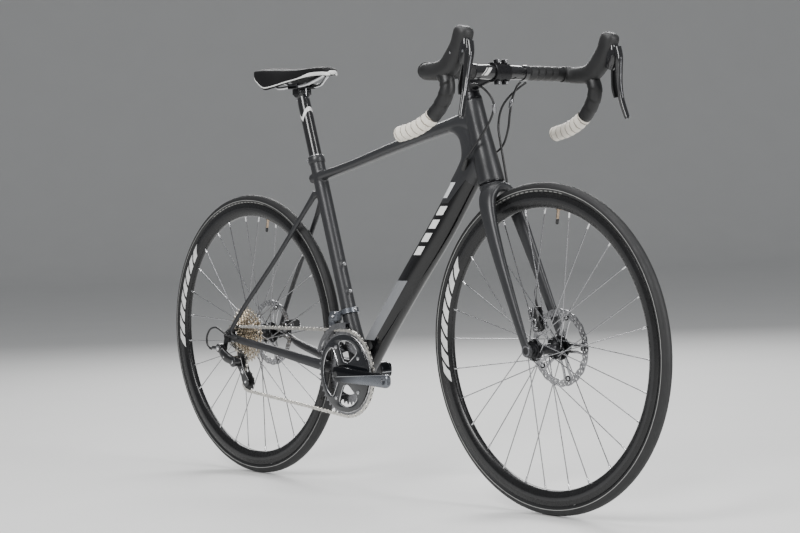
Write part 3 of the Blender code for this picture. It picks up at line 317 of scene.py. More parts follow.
    def scuff(self, value, amount):
        """Rougher and smoother by amount with a 0 to 1 value."""
        changed = self.add(self.rough_source(), self.ramp(value, 0.2, 0.8, -amount, amount))
        self.link(changed, self.shader.inputs["Roughness"])
        return self

    def bump(self, value, depth, strength=1.0):
        """Relief of a 0 to 1 value, depth metres high."""
        made = self.node("ShaderNodeBump")
        made.inputs["Strength"].default_value = strength
        made.inputs["Distance"].default_value = depth
        self.feed(made.inputs["Height"], value)
        if self.bump_nodes:
            self.link(self.bump_nodes[-1].outputs["Normal"], made.inputs["Normal"])
        self.bump_nodes.append(made)
        self.link(made.outputs["Normal"], self.shader.inputs["Normal"])
        return self

    def worn_edges(self, colour, width=0.0012, amount=0.6):
        """A lighter rub along convex edges, broken up with noise."""
        made = self.node("ShaderNodeBevel", samples=4)
        made.inputs["Radius"].default_value = width
        geometry = self.node("ShaderNodeNewGeometry")
        product = self.node("ShaderNodeVectorMath", operation="DOT_PRODUCT")
        self.link(made.outputs[0], product.inputs[0])
        self.link(geometry.outputs["Normal"], product.inputs[1])
        edge = self.ramp(product.outputs["Value"], 0.995, 0.90)
        broken = self.times(edge, self.ramp(self.noise(260, 3), 0.42, 0.62, 0.0, amount))
        return self.paint(broken, colour)


FRAME_COLOUR = (0.021, 0.0215, 0.0235)
MARK_COLOUR = (0.74, 0.74, 0.73)


def smooth_paint(name, colour, roughness, coat=0.0):
    look = Look(name, colour, roughness, coat=coat, coat_roughness=0.08)
    look.vary(look.noise(26, 4), 0.10)
    look.scuff(look.noise(90, 3), 0.04)
    look.bump(look.noise(900, 2), 0.00003, 0.35)
    return look


def frame_look():
    """Satin charcoal with a gloss black middle of the down tube and plain silver blocks."""
    look = Look("frame_paint", FRAME_COLOUR, 0.37)
    low_end, high_end = Vector((-0.020, 0, 0.348)), Vector((0.275, 0, 0.672))
    run = (high_end - low_end).normalized()
    square = Vector((-run.z, 0, run.x))
    along = look.along(low_end, run)
    aside = look.along(low_end, square)
    slant = look.add(along, look.times(aside, 0.9))
    on_tube = look.times(look.band(aside, -0.040, 0.040), look.band(along, -0.06, 0.4660))
    wedge = look.add(aside, look.times(look.minus(along, 0.396), 0.127))
    below_wedge = look.ramp(wedge, -0.0012, -0.0020)
    gloss = look.math("MAXIMUM", below_wedge, look.band(slant, -0.030, 0.392))
    look.paint(look.times(on_tube, gloss), (0.0045, 0.0045, 0.005), 0.12)
    light_block = look.times(look.band(aside, 0.0095, 0.036), look.band(slant, 0.407, 0.4505))
    look.paint(light_block, (0.62, 0.63, 0.64), 0.35)
    grey_block = look.times(look.band(aside, -0.0078, 0.036), look.band(slant, -0.012, 0.168))
    look.paint(grey_block, (0.20, 0.205, 0.215), 0.36)
    stripe = look.math("MODULO", look.minus(slant, 0.243), 0.0382)
    dashes = look.times(look.band(slant, 0.2435, 0.3900), look.band(stripe, 0.0010, 0.0262),
                        look.band(aside, -0.0040, 0.0145))
    look.paint(dashes, (0.80, 0.80, 0.79), 0.35)
    look.vary(look.noise(30, 4), 0.06)
    look.scuff(look.noise(120, 3), 0.05)
    look.bump(look.noise(1400, 2), 0.00002, 0.4)
    look.worn_edges((0.09, 0.09, 0.095), 0.001, 0.25)
    return look


def anodised(name, colour, roughness=0.34, metallic=0.85):
    look = Look(name, colour, roughness, metallic=metallic)
    look.vary(look.noise(60, 4), 0.12)
    look.scuff(look.noise(200, 4), 0.06)
    look.bump(look.noise(1800, 3), 0.00002, 0.4)
    look.worn_edges(tuple(min(1, c * 4 + 0.05) for c in colour), 0.0008, 0.5)
    return look


def bare_metal(name, colour, roughness=0.28, wear=0.10):
    look = Look(name, colour, roughness, metallic=1.0)
    look.vary(look.noise(140, 5), wear)
    look.scuff(look.noise(320, 4), 0.09)
    look.bump(look.noise(1500, 3), 0.00003, 0.5)
    return look


def moulded(name, colour, roughness=0.38):
    look = Look(name, colour, roughness)
    look.vary(look.noise(40, 3), 0.10)
    look.bump(look.noise(1300, 3), 0.00004, 0.5)
    look.scuff(look.noise(60, 3), 0.06)
    return look


def gloss_black(name, colour=(0.008, 0.009, 0.011), roughness=0.12):
    look = Look(name, colour, roughness, coat=0.6, coat_roughness=0.04)
    look.vary(look.noise(25, 3), 0.15)
    look.scuff(look.noise(180, 4), 0.04)
    look.bump(look.noise(40, 2), 0.00005, 0.2)
    return look


def tyre_look(name, axle):
    """Rubber with a smooth centre, fine sipes on the shoulders, a ribbed sidewall and a thin light line."""
    look = Look(name, (0.0105, 0.0105, 0.011), 0.60)
    x, y, z, radius = look.wheel_axes(axle)
    around = look.math("ARCTAN2", z, x)
    line = look.band(radius, 0.32335, 0.32445, 0.0002)
    look.paint(line, (0.34, 0.34, 0.33), 0.45)
    wall = look.band(radius, 0.3165, 0.3225, 0.0003)
    look.paint(wall, (0.0065, 0.0065, 0.007), 0.45)
    label = look.band(radius, 0.3185, 0.3205, 0.0002)
    sector = look.band(around, 1.35, 2.05, 0.01)
    marks = look.band(look.math("FRACT", look.times(around, 23.0)), 0.1, 0.75, 0.04)
    look.paint(look.times(label, sector, marks), (0.22, 0.22, 0.21), 0.5)
    side = look.size(y)
    sipes = look.math("SINE", look.add(look.times(around, 640.0), look.times(side, 2400.0)))
    shoulder = look.band(side, 0.0055, 0.0100, 0.0008)
    cut_in = look.times(shoulder, look.ramp(sipes, 0.2, 0.9))
    ribs = look.math("SINE", look.times(radius, 7000.0))
    look.bump(look.minus(1.0, cut_in), 0.0005, 0.8)
    look.bump(look.times(ribs, wall), 0.0001, 0.4)
    look.bump(look.noise(500, 4), 0.0001, 0.4)
    look.vary(look.noise(18, 4), 0.14)
    look.scuff(look.noise(70, 4), 0.08)
    return look


def rim_look(name, axle, start_degrees):
    """Black anodised rim with a painted highlight band on the shoulder and a run of plain slanted bars on one
    arc.
    """
    look = Look(name, (0.0085, 0.0085, 0.009), 0.28, metallic=0.2)
    x, y, z, radius = look.wheel_axes(axle)
    begin, run, bar_spacing = start_degrees - 180.0, 50.0, 6.25
    around = look.times(look.math("ARCTAN2", z, look.times(x, -1.0)), -180 / math.pi)
    slanted = look.add(around, look.times(look.minus(radius, 0.30), 260.0))
    arc = look.band(slanted, begin, begin + run, 0.1)
    place = look.math("FRACT", look.math("DIVIDE", look.minus(slanted, begin), bar_spacing))
    faces = look.ramp(look.size(y), 0.0060, 0.0066)
    bars = look.times(arc, look.band(place, 0.03, 0.78, 0.01),
                      look.band(radius, 0.2935, 0.3115, 0.0003), faces)
    # A lighter, smoother band round the shoulder: painted highlight.
    look.paint(look.band(radius, 0.2990, 0.3060, 0.0004), (0.022, 0.022, 0.023), 0.34)
    look.paint(bars, MARK_COLOUR, 0.4)
    look.vary(look.noise(40, 4), 0.12)
    look.scuff(look.noise(150, 4), 0.06)
    look.bump(look.noise(1500, 3), 0.00002, 0.4)
    return look


def tape_look(name, colour, roughness, sheen, lap_shade_colour):
    """Padded wrap: fine grain, small pin holes and painted shade in the creases where each turn laps the one
    before.
    """
    look = Look(name, colour, roughness, sheen=sheen)
    holes = look.ramp(look.cells(520), 0.10, 0.30)
    look.bump(holes, 0.00018, 0.5)
    look.bump(look.noise(1600, 3), 0.00008, 0.5)
    look.vary(look.noise(45, 4), 0.07)
    look.scuff(look.noise(90, 3), 0.08)
    # Where the seam attribute marks a lap's edge, the given darker colour is painted shade in the crease
    # between turns.
    seam = look.node("ShaderNodeAttribute", attribute_name="seam").outputs["Fac"]
    look.paint(seam, lap_shade_colour)
    return look


def leather_look(name, colour, roughness=0.62):
    look = Look(name, colour, roughness, specular=0.14)
    look.bump(look.ramp(look.cells(900), 0.0, 0.5), 0.00008, 0.45)
    look.bump(look.noise(260, 4), 0.00006, 0.4)
    look.vary(look.noise(30, 4), 0.15)
    look.scuff(look.noise(75, 4), 0.07)
    return look


def hood_look():
    look = Look("hood_rubber", (0.0105, 0.0105, 0.011), 0.52)
    grain = look.ramp(look.cells(1100), 0.05, 0.45)
    look.bump(grain, 0.00014, 0.6)
    look.vary(look.noise(30, 4), 0.12)
    look.scuff(look.noise(80, 3), 0.07)
    return look


def make_looks():
    # The last colour given is painted shade in the creases between the wrap's turns.
    cream = tape_look("white_wrap", (0.80, 0.75, 0.66), 0.55, 0.1, (0.20, 0.165, 0.12))
    cream.paint(cream.ramp(cream.noise(22, 5), 0.56, 0.78, 0.0, 0.35), (0.60, 0.56, 0.49))
    return {
        "frame": frame_look(),
        "fork": smooth_paint("fork_paint", FRAME_COLOUR, 0.36),
        "black": anodised("black_alloy", (0.0105, 0.0105, 0.012), 0.30, 0.5),
        "silver": bare_metal("polished_alloy", (0.72, 0.72, 0.73), 0.22),
        "steel": bare_metal("bolt_steel", (0.55, 0.55, 0.56), 0.26),
        "dark_steel": bare_metal("spoke_steel", (0.33, 0.33, 0.34), 0.26),
        "brass": bare_metal("valve_brass", (0.47, 0.36, 0.26), 0.28),
        "chain": bare_metal("chain_steel", (0.70, 0.68, 0.64), 0.22, wear=0.25),
        "sprocket": bare_metal("sprocket_steel", (0.66, 0.60, 0.51), 0.25, wear=0.22),
        "track": bare_metal("rotor_steel", (0.38, 0.38, 0.39), 0.24, wear=0.2),
        "dim_steel": bare_metal("dark_bare_steel", (0.24, 0.24, 0.25), 0.30, wear=0.2),
        "crank_black": gloss_black("crank_gloss"),
        "crank_grey": anodised("mech_satin", (0.15, 0.16, 0.18), 0.30, 0.8),
        "dark": moulded("dark_plastic", (0.010, 0.010, 0.0105), 0.32),
        "gloss": gloss_black("gloss_plastic", (0.010, 0.010, 0.011), 0.14),
        "hose": moulded("hose_sheath", (0.012, 0.012, 0.013), 0.30),
        "hood": hood_look(),
        # The last colour given is painted shade in the creases between the wrap's turns.
        "dark_tape": tape_look("dark_wrap", (0.0085, 0.0085, 0.009), 0.46, 0.0,
                               (0.002, 0.002, 0.002)),
        "white_tape": cream,
        "saddle": leather_look("saddle_black", (0.0085, 0.0085, 0.009)),
        "saddle_trim": smooth_paint("saddle_trim", (0.74, 0.74, 0.72), 0.32),
        "shell": moulded("saddle_base", (0.012, 0.012, 0.0125), 0.45),
        "front_tyre": tyre_look("front_tyre_rubber", FRONT_AXLE),
        "rear_tyre": tyre_look("rear_tyre_rubber", REAR_AXLE),
        "front_rim": rim_look("front_rim_black", FRONT_AXLE, 145.5),
        "rear_rim": rim_look("rear_rim_black", REAR_AXLE, 138.0),
    }


# ---------------------------------------------------------------- mesh building

def stood(name, mesh):
    """A new object in the scene from a bmesh, which is used up."""
    data = bpy.data.meshes.new(name)
    mesh.to_mesh(data)
    mesh.free()
    made = bpy.data.objects.new(name, data)
    bpy.context.scene.collection.objects.link(made)
    return made


def evaluated(holder):
    """A bmesh of an object's shape with its modifiers applied."""
    bpy.context.view_layer.update()
    made = bpy.data.meshes.new_from_object(holder.evaluated_get(bpy.context.evaluated_depsgraph_get()))
    mesh = bmesh.new()
    mesh.from_mesh(made)
    bpy.data.meshes.remove(made)
    return mesh


def discard(holder):
    data = holder.data
    bpy.data.objects.remove(holder, do_unlink=True)
    bpy.data.meshes.remove(data)


def joined(*meshes):
    """One bmesh holding all the given ones, which are used up."""
    result = meshes[0]
    for mesh in meshes[1:]:
        data = bpy.data.meshes.new("join")
        mesh.to_mesh(data)
        mesh.free()
        result.from_mesh(data)
        bpy.data.meshes.remove(data)
    return result


def piece(name, mesh, look, body, replaces=(), smooth=38.0, riding=True):
    """An object of the bicycle from a bmesh in world coordinates."""
    bmesh.ops.recalc_face_normals(mesh, faces=mesh.faces)
    made = stood(name, mesh)
    made.data.shade_smooth()
    made.data.set_sharp_from_angle(angle=math.radians(smooth))
    made.data.materials.append(look.material)
    if riding:
        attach(made, body)
    if replaces:
        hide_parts(*replaces)
    return made


def lathe(profile, centre, axis, steps=64, start=None):
    """A closed profile of (distance along the axis, radius) points, spun about the axis."""
    mesh = bmesh.new()
    axis = axis.normalized()
    across = (start or axis.orthogonal()).normalized()
    other = axis.cross(across)
    rows = []
    for step in range(steps):
        angle = math.tau * step / steps
        out = across * math.cos(angle) + other * math.sin(angle)
        rows.append([mesh.verts.new(centre + axis * a + out * r) for a, r in profile])
    count = len(profile)
    for step in range(steps):
        first, second = rows[step], rows[(step + 1) % steps]
        for a in range(count):
            b = (a + 1) % count
            if profile[a][1] < 1e-9 and profile[b][1] < 1e-9:
                continue
            mesh.faces.new((first[a], first[b], second[b], second[a]))
    bmesh.ops.remove_doubles(mesh, verts=mesh.verts, dist=1e-7)
    return mesh


def rod(start, end, radius, steps=24, chamfer=0.0):
    """A round bar between two points; chamfer cuts its ends' edges."""
    along = end - start
    if chamfer:
        profile = [(0, 0), (0, radius - chamfer), (chamfer, radius), (along.length - chamfer, radius),
                   (along.length, radius - chamfer), (along.length, 0)]
    else:
        profile = [(0, 0), (0, radius), (along.length, radius), (along.length, 0)]
    return lathe(profile, start, along, steps)


def block(centre, size, turn=None, bevel=0.0, segments=2):
    mesh = bmesh.new()
    place = Matrix.Translation(centre) @ (turn or Matrix()).to_4x4() @ Matrix.Diagonal((*size, 1))
    bmesh.ops.create_cube(mesh, size=1, matrix=place)
    if bevel:
        bmesh.ops.bevel(mesh, geom=mesh.edges[:], offset=bevel, segments=segments, profile=0.5,
                        affect="EDGES", clamp_overlap=True)
    return mesh


def outline(centre, side, up, half_side, half_up, count, squareness=2.0):
    points = []
    for number in range(count):
        angle = math.tau * number / count
        across, rise = math.cos(angle), math.sin(angle)
        across = math.copysign(abs(across) ** (2 / squareness), across)
        rise = math.copysign(abs(rise) ** (2 / squareness), rise)
        points.append(centre + side * half_side * across + up * half_up * rise)
    return points


def loft(rings):
    """A skin through successive rings of equally many points, capped at both ends."""
    mesh = bmesh.new()
    rows = [[mesh.verts.new(point) for point in points] for points in rings]
    count = len(rows[0])
    for first, second in zip(rows, rows[1:]):
        for a in range(count):
            b = (a + 1) % count
            mesh.faces.new((first[a], first[b], second[b], second[a]))
    mesh.faces.new(rows[0][::-1])
    mesh.faces.new(rows[-1])
    return mesh


def smooth_path(points, steps):
    """Points along a curve through the given ones, with so many steps between each two."""
    points = [Vector(point) for point in points]
    padded = [2 * points[0] - points[1], *points, 2 * points[-1] - points[-2]]
    path = []
    for number in range(len(points) - 1):
        before, start, end, after = padded[number:number + 4]
        for step in range(steps):
            t = step / steps
            path.append(0.5 * (
                2 * start + (end - before) * t
                + (2 * before - 5 * start + 4 * end - after) * t ** 2
                + (3 * start - before - 3 * end + after) * t ** 3
            ))
    path.append(points[-1])
    return path


def sweep(stations, hint, steps=6, count=28, squareness=2.0):
    """A skin along stations of (place, half width, half height); hint is square to the width."""
    path = smooth_path([station[0] for station in stations], steps)
    sizes = smooth_path([(station[1], station[2], 0) for station in stations], steps)
    rings = []
    for number, point in enumerate(path):
        before, after = path[max(number - 1, 0)], path[min(number + 1, len(path) - 1)]
        tangent = (after - before).normalized()
        side = hint.cross(tangent).normalized()
        up = tangent.cross(side).normalized()
        size = sizes[number]
        rings.append(outline(point, side, up, size.x, size.y, count, squareness))
    return loft(rings)


def tube(points, radius, sides=14, steps=6):
    """A round tube along a smooth curve through the points; radius may be one for each point."""
    radii = radius if isinstance(radius, (list, tuple)) else [radius] * len(points)
    path = smooth_path(points, steps)
    sizes = smooth_path([(size, 0, 0) for size in radii], steps)
    rings, side = [], None
    for number, point in enumerate(path):
        before, after = path[max(number - 1, 0)], path[min(number + 1, len(path) - 1)]
        tangent = (after - before).normalized()
        side = side or tangent.orthogonal().normalized()
        side = (side - tangent * side.dot(tangent)).normalized()
        rings.append(outline(point, side, tangent.cross(side), sizes[number].x, sizes[number].x, sides))
    return loft(rings)


def plate(loops, thickness, place, bevel=0.0, segments=1):
    """A flat plate with holes: loops of (x, y) points, the first the outside, set in space by a matrix."""
    data = bpy.data.curves.new("plate", "CURVE")
    data.dimensions = "2D"
    data.fill_mode = "BOTH"
    data.extrude = thickness / 2 - bevel
    data.bevel_depth = bevel
    data.bevel_resolution = segments - 1
    data.offset = -bevel
    for loop in loops:
        spline = data.splines.new("POLY")
        spline.points.add(len(loop) - 1)
        for target, (x, y) in zip(spline.points, loop):
            target.co = (x, y, 0, 1)
        spline.use_cyclic_u = True
    holder = bpy.data.objects.new("plate", data)
    bpy.context.scene.collection.objects.link(holder)
    mesh = evaluated(holder)
    bpy.data.objects.remove(holder, do_unlink=True)
    bpy.data.curves.remove(data)
    bmesh.ops.remove_doubles(mesh, verts=mesh.verts, dist=1e-7)
    bmesh.ops.transform(mesh, matrix=place, verts=mesh.verts)
    return mesh


def wheel_plane(centre, y=None):
    """Sets a plate's x to X and y to Z about a wheel's centre, at a given Y."""
    place = Matrix(((1, 0, 0), (0, 0, -1), (0, 1, 0))).to_4x4()
    place.translation = Vector((centre.x, centre.y if y is None else y, centre.z))
    return place


def polar(angle, radius):
    return (radius * math.cos(angle), radius * math.sin(angle))


def circle(radius, count=48, centre=(0, 0)):
    return [(centre[0] + x, centre[1] + y) for x, y in
            (polar(math.tau * k / count, radius) for k in range(count))]


def on_plane(angle, radius, centre, y):
    return Vector((centre.x + radius * math.cos(angle), y, centre.z + radius * math.sin(angle)))


def fused(mesh, voxel, rounds):
    """The mesh's overlapping parts melted into one skin, with soft fillets where they meet."""
    bmesh.ops.recalc_face_normals(mesh, faces=mesh.faces)
    holder = stood("fused", mesh)
    remesh = holder.modifiers.new("melt", "REMESH")
    remesh.mode = "VOXEL"
    remesh.voxel_size = voxel
    soften = holder.modifiers.new("soften", "SMOOTH")
    soften.factor = 0.5
    soften.iterations = rounds
    result = evaluated(holder)
    discard(holder)
    return result


def socket_bolt(place, direction, radius, height):
    """A cap screw whose head stands out along direction, with a round recess for the key."""
    profile = [
        (-0.001, 0), (-0.001, radius * 0.9), (0, radius), (height * 0.8, radius),
        (height, radius * 0.86), (height, radius * 0.52), (height * 0.45, radius * 0.50),
        (height * 0.35, 0),
    ]
    return lathe(profile, place, direction, 16)


def mirrored(point):
    return Vector((point[0], -point[1], point[2]))


# ---------------------------------------------------------------- frame

def carry(node, look):
    """A CAD node kept as it is, with a better material."""
    kept = frame["nodes"][node]
    for place in kept.material_slots:
        place.material = look.material


def carved(mesh, cutters):
    """The mesh with other meshes cut out of it."""
    holders = []
    for part in (mesh, *cutters):
        bmesh.ops.recalc_face_normals(part, faces=part.faces)
        holders.append(stood("carving", part))
    for cutter in holders[1:]:
        modifier = holders[0].modifiers.new("cut", "BOOLEAN")
        modifier.operation = "DIFFERENCE"
        modifier.solver = "EXACT"
        modifier.object = cutter
    result = evaluated(holders[0])
    for holder in holders:
        discard(holder)
    return result


def stay_lofts(side):
    chainstay = [
        ((-0.098, 0.024 * side, 0.2640), 0.0090, 0.0160),
        ((-0.150, 0.0262 * side, 0.2705), 0.0085, 0.0145),
        ((-0.218, 0.0300 * side, 0.2790), 0.0085, 0.0130),
        ((-0.385, 0.0500 * side, 0.3100), 0.0080, 0.0098),
        ((-0.446, 0.0660 * side, 0.3230), 0.0065, 0.0092),
        ((-0.500, 0.0745 * side, 0.3340), 0.0036, 0.0090),
    ]
    seatstay = [
        ((-0.230, 0.0110 * side, 0.6720), 0.0060, 0.0100),
        ((-0.262, 0.0200 * side, 0.6310), 0.0056, 0.0072),
        ((-0.290, 0.0260 * side, 0.5975), 0.0055, 0.0067),
        ((-0.365, 0.0410 * side, 0.5110), 0.0052, 0.0064),
        ((-0.457, 0.0625 * side, 0.4090), 0.0050, 0.0064),
        ((-0.503, 0.0745 * side, 0.3500), 0.0036, 0.0070),
    ]
    near = REAR_AXLE + Y_AXIS * side * 0.0710
    far = REAR_AXLE + Y_AXIS * side * 0.0781
    return [
        sweep(chainstay, Z_AXIS, 8, 28, 2.4), sweep(seatstay, X_AXIS, 8, 28),
        rod(near, far, 0.0160, 40),
    ]


def make_frame(looks):
    down = [
        ((-0.0925, 0, 0.2640), 0.0230, 0.0280), ((-0.020, 0, 0.348), 0.0225, 0.0290),
        ((0.092, 0, 0.470), 0.0220, 0.0295), ((0.197, 0, 0.581), 0.0215, 0.0315),
        ((0.275, 0, 0.672), 0.0210, 0.0310), ((0.344, 0, 0.752), 0.0190, 0.0300),
    ]
    top = [
        ((-0.246, 0, 0.7040), 0.0180, 0.0128), ((-0.215, 0, 0.7100), 0.0160, 0.0110),
        ((-0.100, 0, 0.7320), 0.0147, 0.0105),
        ((0.055, 0, 0.7655), 0.0160, 0.0118), ((0.180, 0, 0.7905), 0.0175, 0.0135),
        ((0.262, 0, 0.8050), 0.0185, 0.0165), ((0.298, 0, 0.8080), 0.0185, 0.0230),
        ((0.324, 0, 0.8060), 0.0185, 0.0290),
    ]
    web = [
        ((0.2350, 0, 0.7990), 0.0150, 0.0105), ((0.2680, 0, 0.7950), 0.0170, 0.0170),
        ((0.2920, 0, 0.7810), 0.0180, 0.0230), ((0.3020, 0, 0.7600), 0.0183, 0.0255),
        ((0.3045, 0, 0.7400), 0.0187, 0.0262), ((0.3010, 0, 0.7200), 0.0192, 0.0268),
        ((0.2860, 0, 0.6960), 0.0200, 0.0275), ((0.2640, 0, 0.6690), 0.0205, 0.0280),
    ]
    seat = [
        (seat_point(0.0), 0.0235, 0.0260), (seat_point(0.06), 0.0210, 0.0235),
        (seat_point(0.115), 0.0185, 0.0185), (seat_point(0.20), 0.0172, 0.0172),
        (seat_point(0.46), 0.0172, 0.0172), (seat_point(0.512), 0.0174, 0.0174),
    ]
    head = lathe(
        [(-0.0048, 0), (-0.0048, 0.0276), (0.030, 0.0266), (0.070, 0.0242), (0.110, 0.0224),
         (0.1768, 0.0213), (0.1768, 0)],
        steer_at(0.372), STEER_AXIS, 64,
    )
    shell = rod(BOTTOM_BRACKET - Y_AXIS * 0.0338, BOTTOM_BRACKET + Y_AXIS * 0.0338, 0.0260, 64)
    boss_axis = Vector((SEAT_AXIS.z, 0, -SEAT_AXIS.x))
    bosses = [rod(seat_point(s), seat_point(s) + boss_axis * 0.0188, 0.0068, 24) for s in BOTTLE_BOSSES]
    mesh = joined(
        sweep(down, X_AXIS, 8, 44, 2.4), sweep(top, Z_AXIS, 8, 36, 2.3), sweep(seat, X_AXIS, 8, 36),
        sweep(web, X_AXIS, 6, 36, 2.4),
        head, shell, *bosses, *stay_lofts(-1), *stay_lofts(1),
    )
    piece("frame_shell", fused(mesh, 0.0022, 5), looks["frame"], "frame", ["frame"], 60)

    cups = joined(
        lathe([(0.0, 0.0150), (0.0, 0.0279), (0.0016, 0.0279), (0.0022, 0.0268), (0.0022, 0.0150)],
              steer_at(0.3656), STEER_AXIS, 64),
        lathe([(0.0, 0.0150), (0.0, 0.0206), (0.0005, 0.0214), (0.0018, 0.0214), (0.0023, 0.0206),
               (0.0023, 0.0150)], steer_at(0.5478), STEER_AXIS, 64),
    )
    piece("headset_rings", cups, looks["black"], "frame")
    bolts = [socket_bolt(seat_point(s) + boss_axis * 0.0189, boss_axis, 0.0042, 0.0026)
             for s in BOTTLE_BOSSES]
    piece("bottle_bolts", joined(*bolts), looks["steel"], "frame")
    ports = []
    for side in (-1, 1):
        start = Vector((0.3200, 0.0292 * side, 0.7300))
        end = Vector((0.2960, 0.0165 * side, 0.7085))
        ports.append(tube([start, start.lerp(end, 0.35), start.lerp(end, 0.7), end],
                          [0.0042, 0.0055, 0.0066, 0.0075], 24, 4))
    piece("cable_ports", joined(*ports), looks["dark"], "frame")


def make_collar(looks):
    top = seat_point(0.4965)
    ring = lathe(
        [(0.0, 0.0176), (0.0, 0.0186), (0.0010, 0.0193), (0.0140, 0.0193), (0.0152, 0.0186),
         (0.0160, 0.0176)], top, SEAT_AXIS, 64,
    )
    lean = Matrix.Rotation(math.atan2(SEAT_AXIS.x, SEAT_AXIS.z), 3, "Y")
    centre = seat_point(0.5047) - X_AXIS * 0.0220
    lugs = [block(centre + Y_AXIS * y, (0.0095, 0.0048, 0.0115), lean, 0.0012, 2) for y in (-0.0036, 0.0036)]
    piece("seat_collar_ring", joined(ring, *lugs), looks["fork"], "frame",
          ["seat_collar"])
    bolt = joined(
        socket_bolt(centre + Vector((-0.0012, -0.0062, 0)), -Y_AXIS, 0.0032, 0.0030),
        rod(centre + Vector((-0.0012, -0.006, 0)), centre + Vector((-0.0012, 0.0075, 0)), 0.0022, 16),
    )
    piece("seat_collar_bolt", bolt, looks["steel"], "frame")
    lip = lathe([(0, 0.0152), (0, 0.0186), (0.0014, 0.0182), (0.0014, 0.0152)], seat_point(0.5125),
                SEAT_AXIS, 64)
    piece("seat_collar_lip", lip, looks["silver"], "frame")


def make_hanger(looks):
    outside, thickness = -0.0784, 0.0046
    parts = [
        lathe([(0, AXLE_HOLE), (0, 0.0112), (0.0008, 0.0118), (0.0036, 0.0118), (0.0044, 0.0112),
               (0.0044, AXLE_HOLE)], REAR_AXLE + Y_AXIS * outside, -Y_AXIS, 40),
        rod(MECH_KNUCKLE + Y_AXIS * outside, MECH_KNUCKLE + Y_AXIS * (outside - thickness), 0.0085, 32,
            0.0006),
    ]
    along = MECH_KNUCKLE - REAR_AXLE
    turn = Matrix.Rotation(math.atan2(along.x, along.z), 3, "Y")
    middle = REAR_AXLE.lerp(MECH_KNUCKLE, 0.5) + Y_AXIS * (outside - thickness / 2)
    parts.append(block(middle, (0.0140, 0.0040, along.length), turn, 0.0008))
    piece("hanger_plate", joined(*parts), looks["black"], "frame", ["derailleur_hanger"])


# ---------------------------------------------------------------- seat post and saddle

def post_look():
    """Gloss black with one plain white chevron at the side."""
    look = smooth_paint("post_gloss", (0.012, 0.012, 0.013), 0.20, 0.3)
    along = look.along(BOTTOM_BRACKET, SEAT_AXIS)
    back = look.along(BOTTOM_BRACKET, Vector((-SEAT_AXIS.z, 0, SEAT_AXIS.x)))
    fold = look.minus(along, look.times(look.size(back), 1.5))
    chevron = look.band(fold, 0.5990, 0.6090)
    look.paint(look.times(chevron, look.ramp(back, 0.012, 0.0122, 1.0, 0.0)),
               (0.76, 0.76, 0.75), 0.3)
    return look


def make_seat_post(looks):
    tube_mesh = lathe(
        [(0, 0), (0, 0.0143), (0.001, 0.0149), (0.3100, 0.0149), (0.3320, 0.0140), (0.3325, 0)],
        seat_point(0.330), SEAT_AXIS, 72,
    )
    head = seat_point(0.6720)
    barrel = rod(head - Y_AXIS * 0.0165, head + Y_AXIS * 0.0165, 0.0142, 56, 0.0010)
    mesh = fused(joined(tube_mesh, barrel), 0.0012, 4)
    piece("post", mesh, post_look(), "seat_post", ["seat_post"], 60)


SADDLE_STATIONS = (
    # x, half width, top, skirt depth, crown drop towards the side
    (-0.4150, 0.0290, 0.9620, 0.0120, 0.003),
    (-0.4115, 0.0400, 0.9650, 0.0165, 0.004),
    (-0.4070, 0.0480, 0.9672, 0.0205, 0.005),
    (-0.3980, 0.0535, 0.9690, 0.0275, 0.007),
    (-0.3880, 0.0560, 0.9697, 0.0360, 0.008),
    (-0.3600, 0.0590, 0.9690, 0.0520, 0.009),
    (-0.3320, 0.0540, 0.9660, 0.0475, 0.008),
    (-0.2980, 0.0410, 0.9620, 0.0350, 0.006),
    (-0.2600, 0.0300, 0.9600, 0.0260, 0.005),
    (-0.2200, 0.0240, 0.9605, 0.0210, 0.004),
    (-0.1850, 0.0210, 0.9590, 0.0195, 0.004),
    (-0.1740, 0.0180, 0.9560, 0.0170, 0.0035),
    (-0.1670, 0.0140, 0.9520, 0.0130, 0.003),
    (-0.1645, 0.0085, 0.9480, 0.0080, 0.002),
)


def saddle_sizes(steps):
    """(x, half width, top, skirt, crown) at closely spaced places along the saddle."""
    places = smooth_path([(x, half, top) for x, half, top, _, _ in SADDLE_STATIONS], steps)
    depths = smooth_path([(skirt, crown, 0) for _, _, _, skirt, crown in SADDLE_STATIONS], steps)
    return [(p.x, p.y, p.z, d.x, d.y) for p, d in zip(places, depths)]


def saddle_ring(x, half, top, skirt, crown):
    """The cushion's outline across, with a shallow groove along the middle of the seat."""
    side = []
    groove = 0.0022 * max(0.0, 1 - ((x + 0.300) / 0.085) ** 2)
    for share in (0.0, 0.10, 0.22, 0.38, 0.55, 0.72, 0.86):
        dip = groove * max(0.0, 1 - (share / 0.30) ** 2)
        side.append((half * share, top - crown * share ** 2 - dip))
    shoulder = top - crown * 0.74
    for turn in (20, 45, 70):
        angle = math.radians(turn)
        side.append((half * (0.86 + 0.14 * math.sin(angle)),
                     shoulder - skirt * 0.16 * (1 - math.cos(angle))))
    side += [(half, top - skirt * 0.55), (half * 0.985, top - skirt * 0.80),
             (half * 0.955, top - skirt * 0.97), (half * 0.925, top - skirt),
             (half * 0.89, top - skirt * 0.97)]
    under = min(skirt * 0.5, 0.0150) + 0.001
    side += [(half * 0.80, top - max(under, skirt * 0.75)), (half * 0.45, top - under), (0.0, top - under)]
    right = [Vector((x, -y, z)) for y, z in side[1:-1]]
    left = [Vector((x, y, z)) for y, z in side[::-1]]
    return right + left


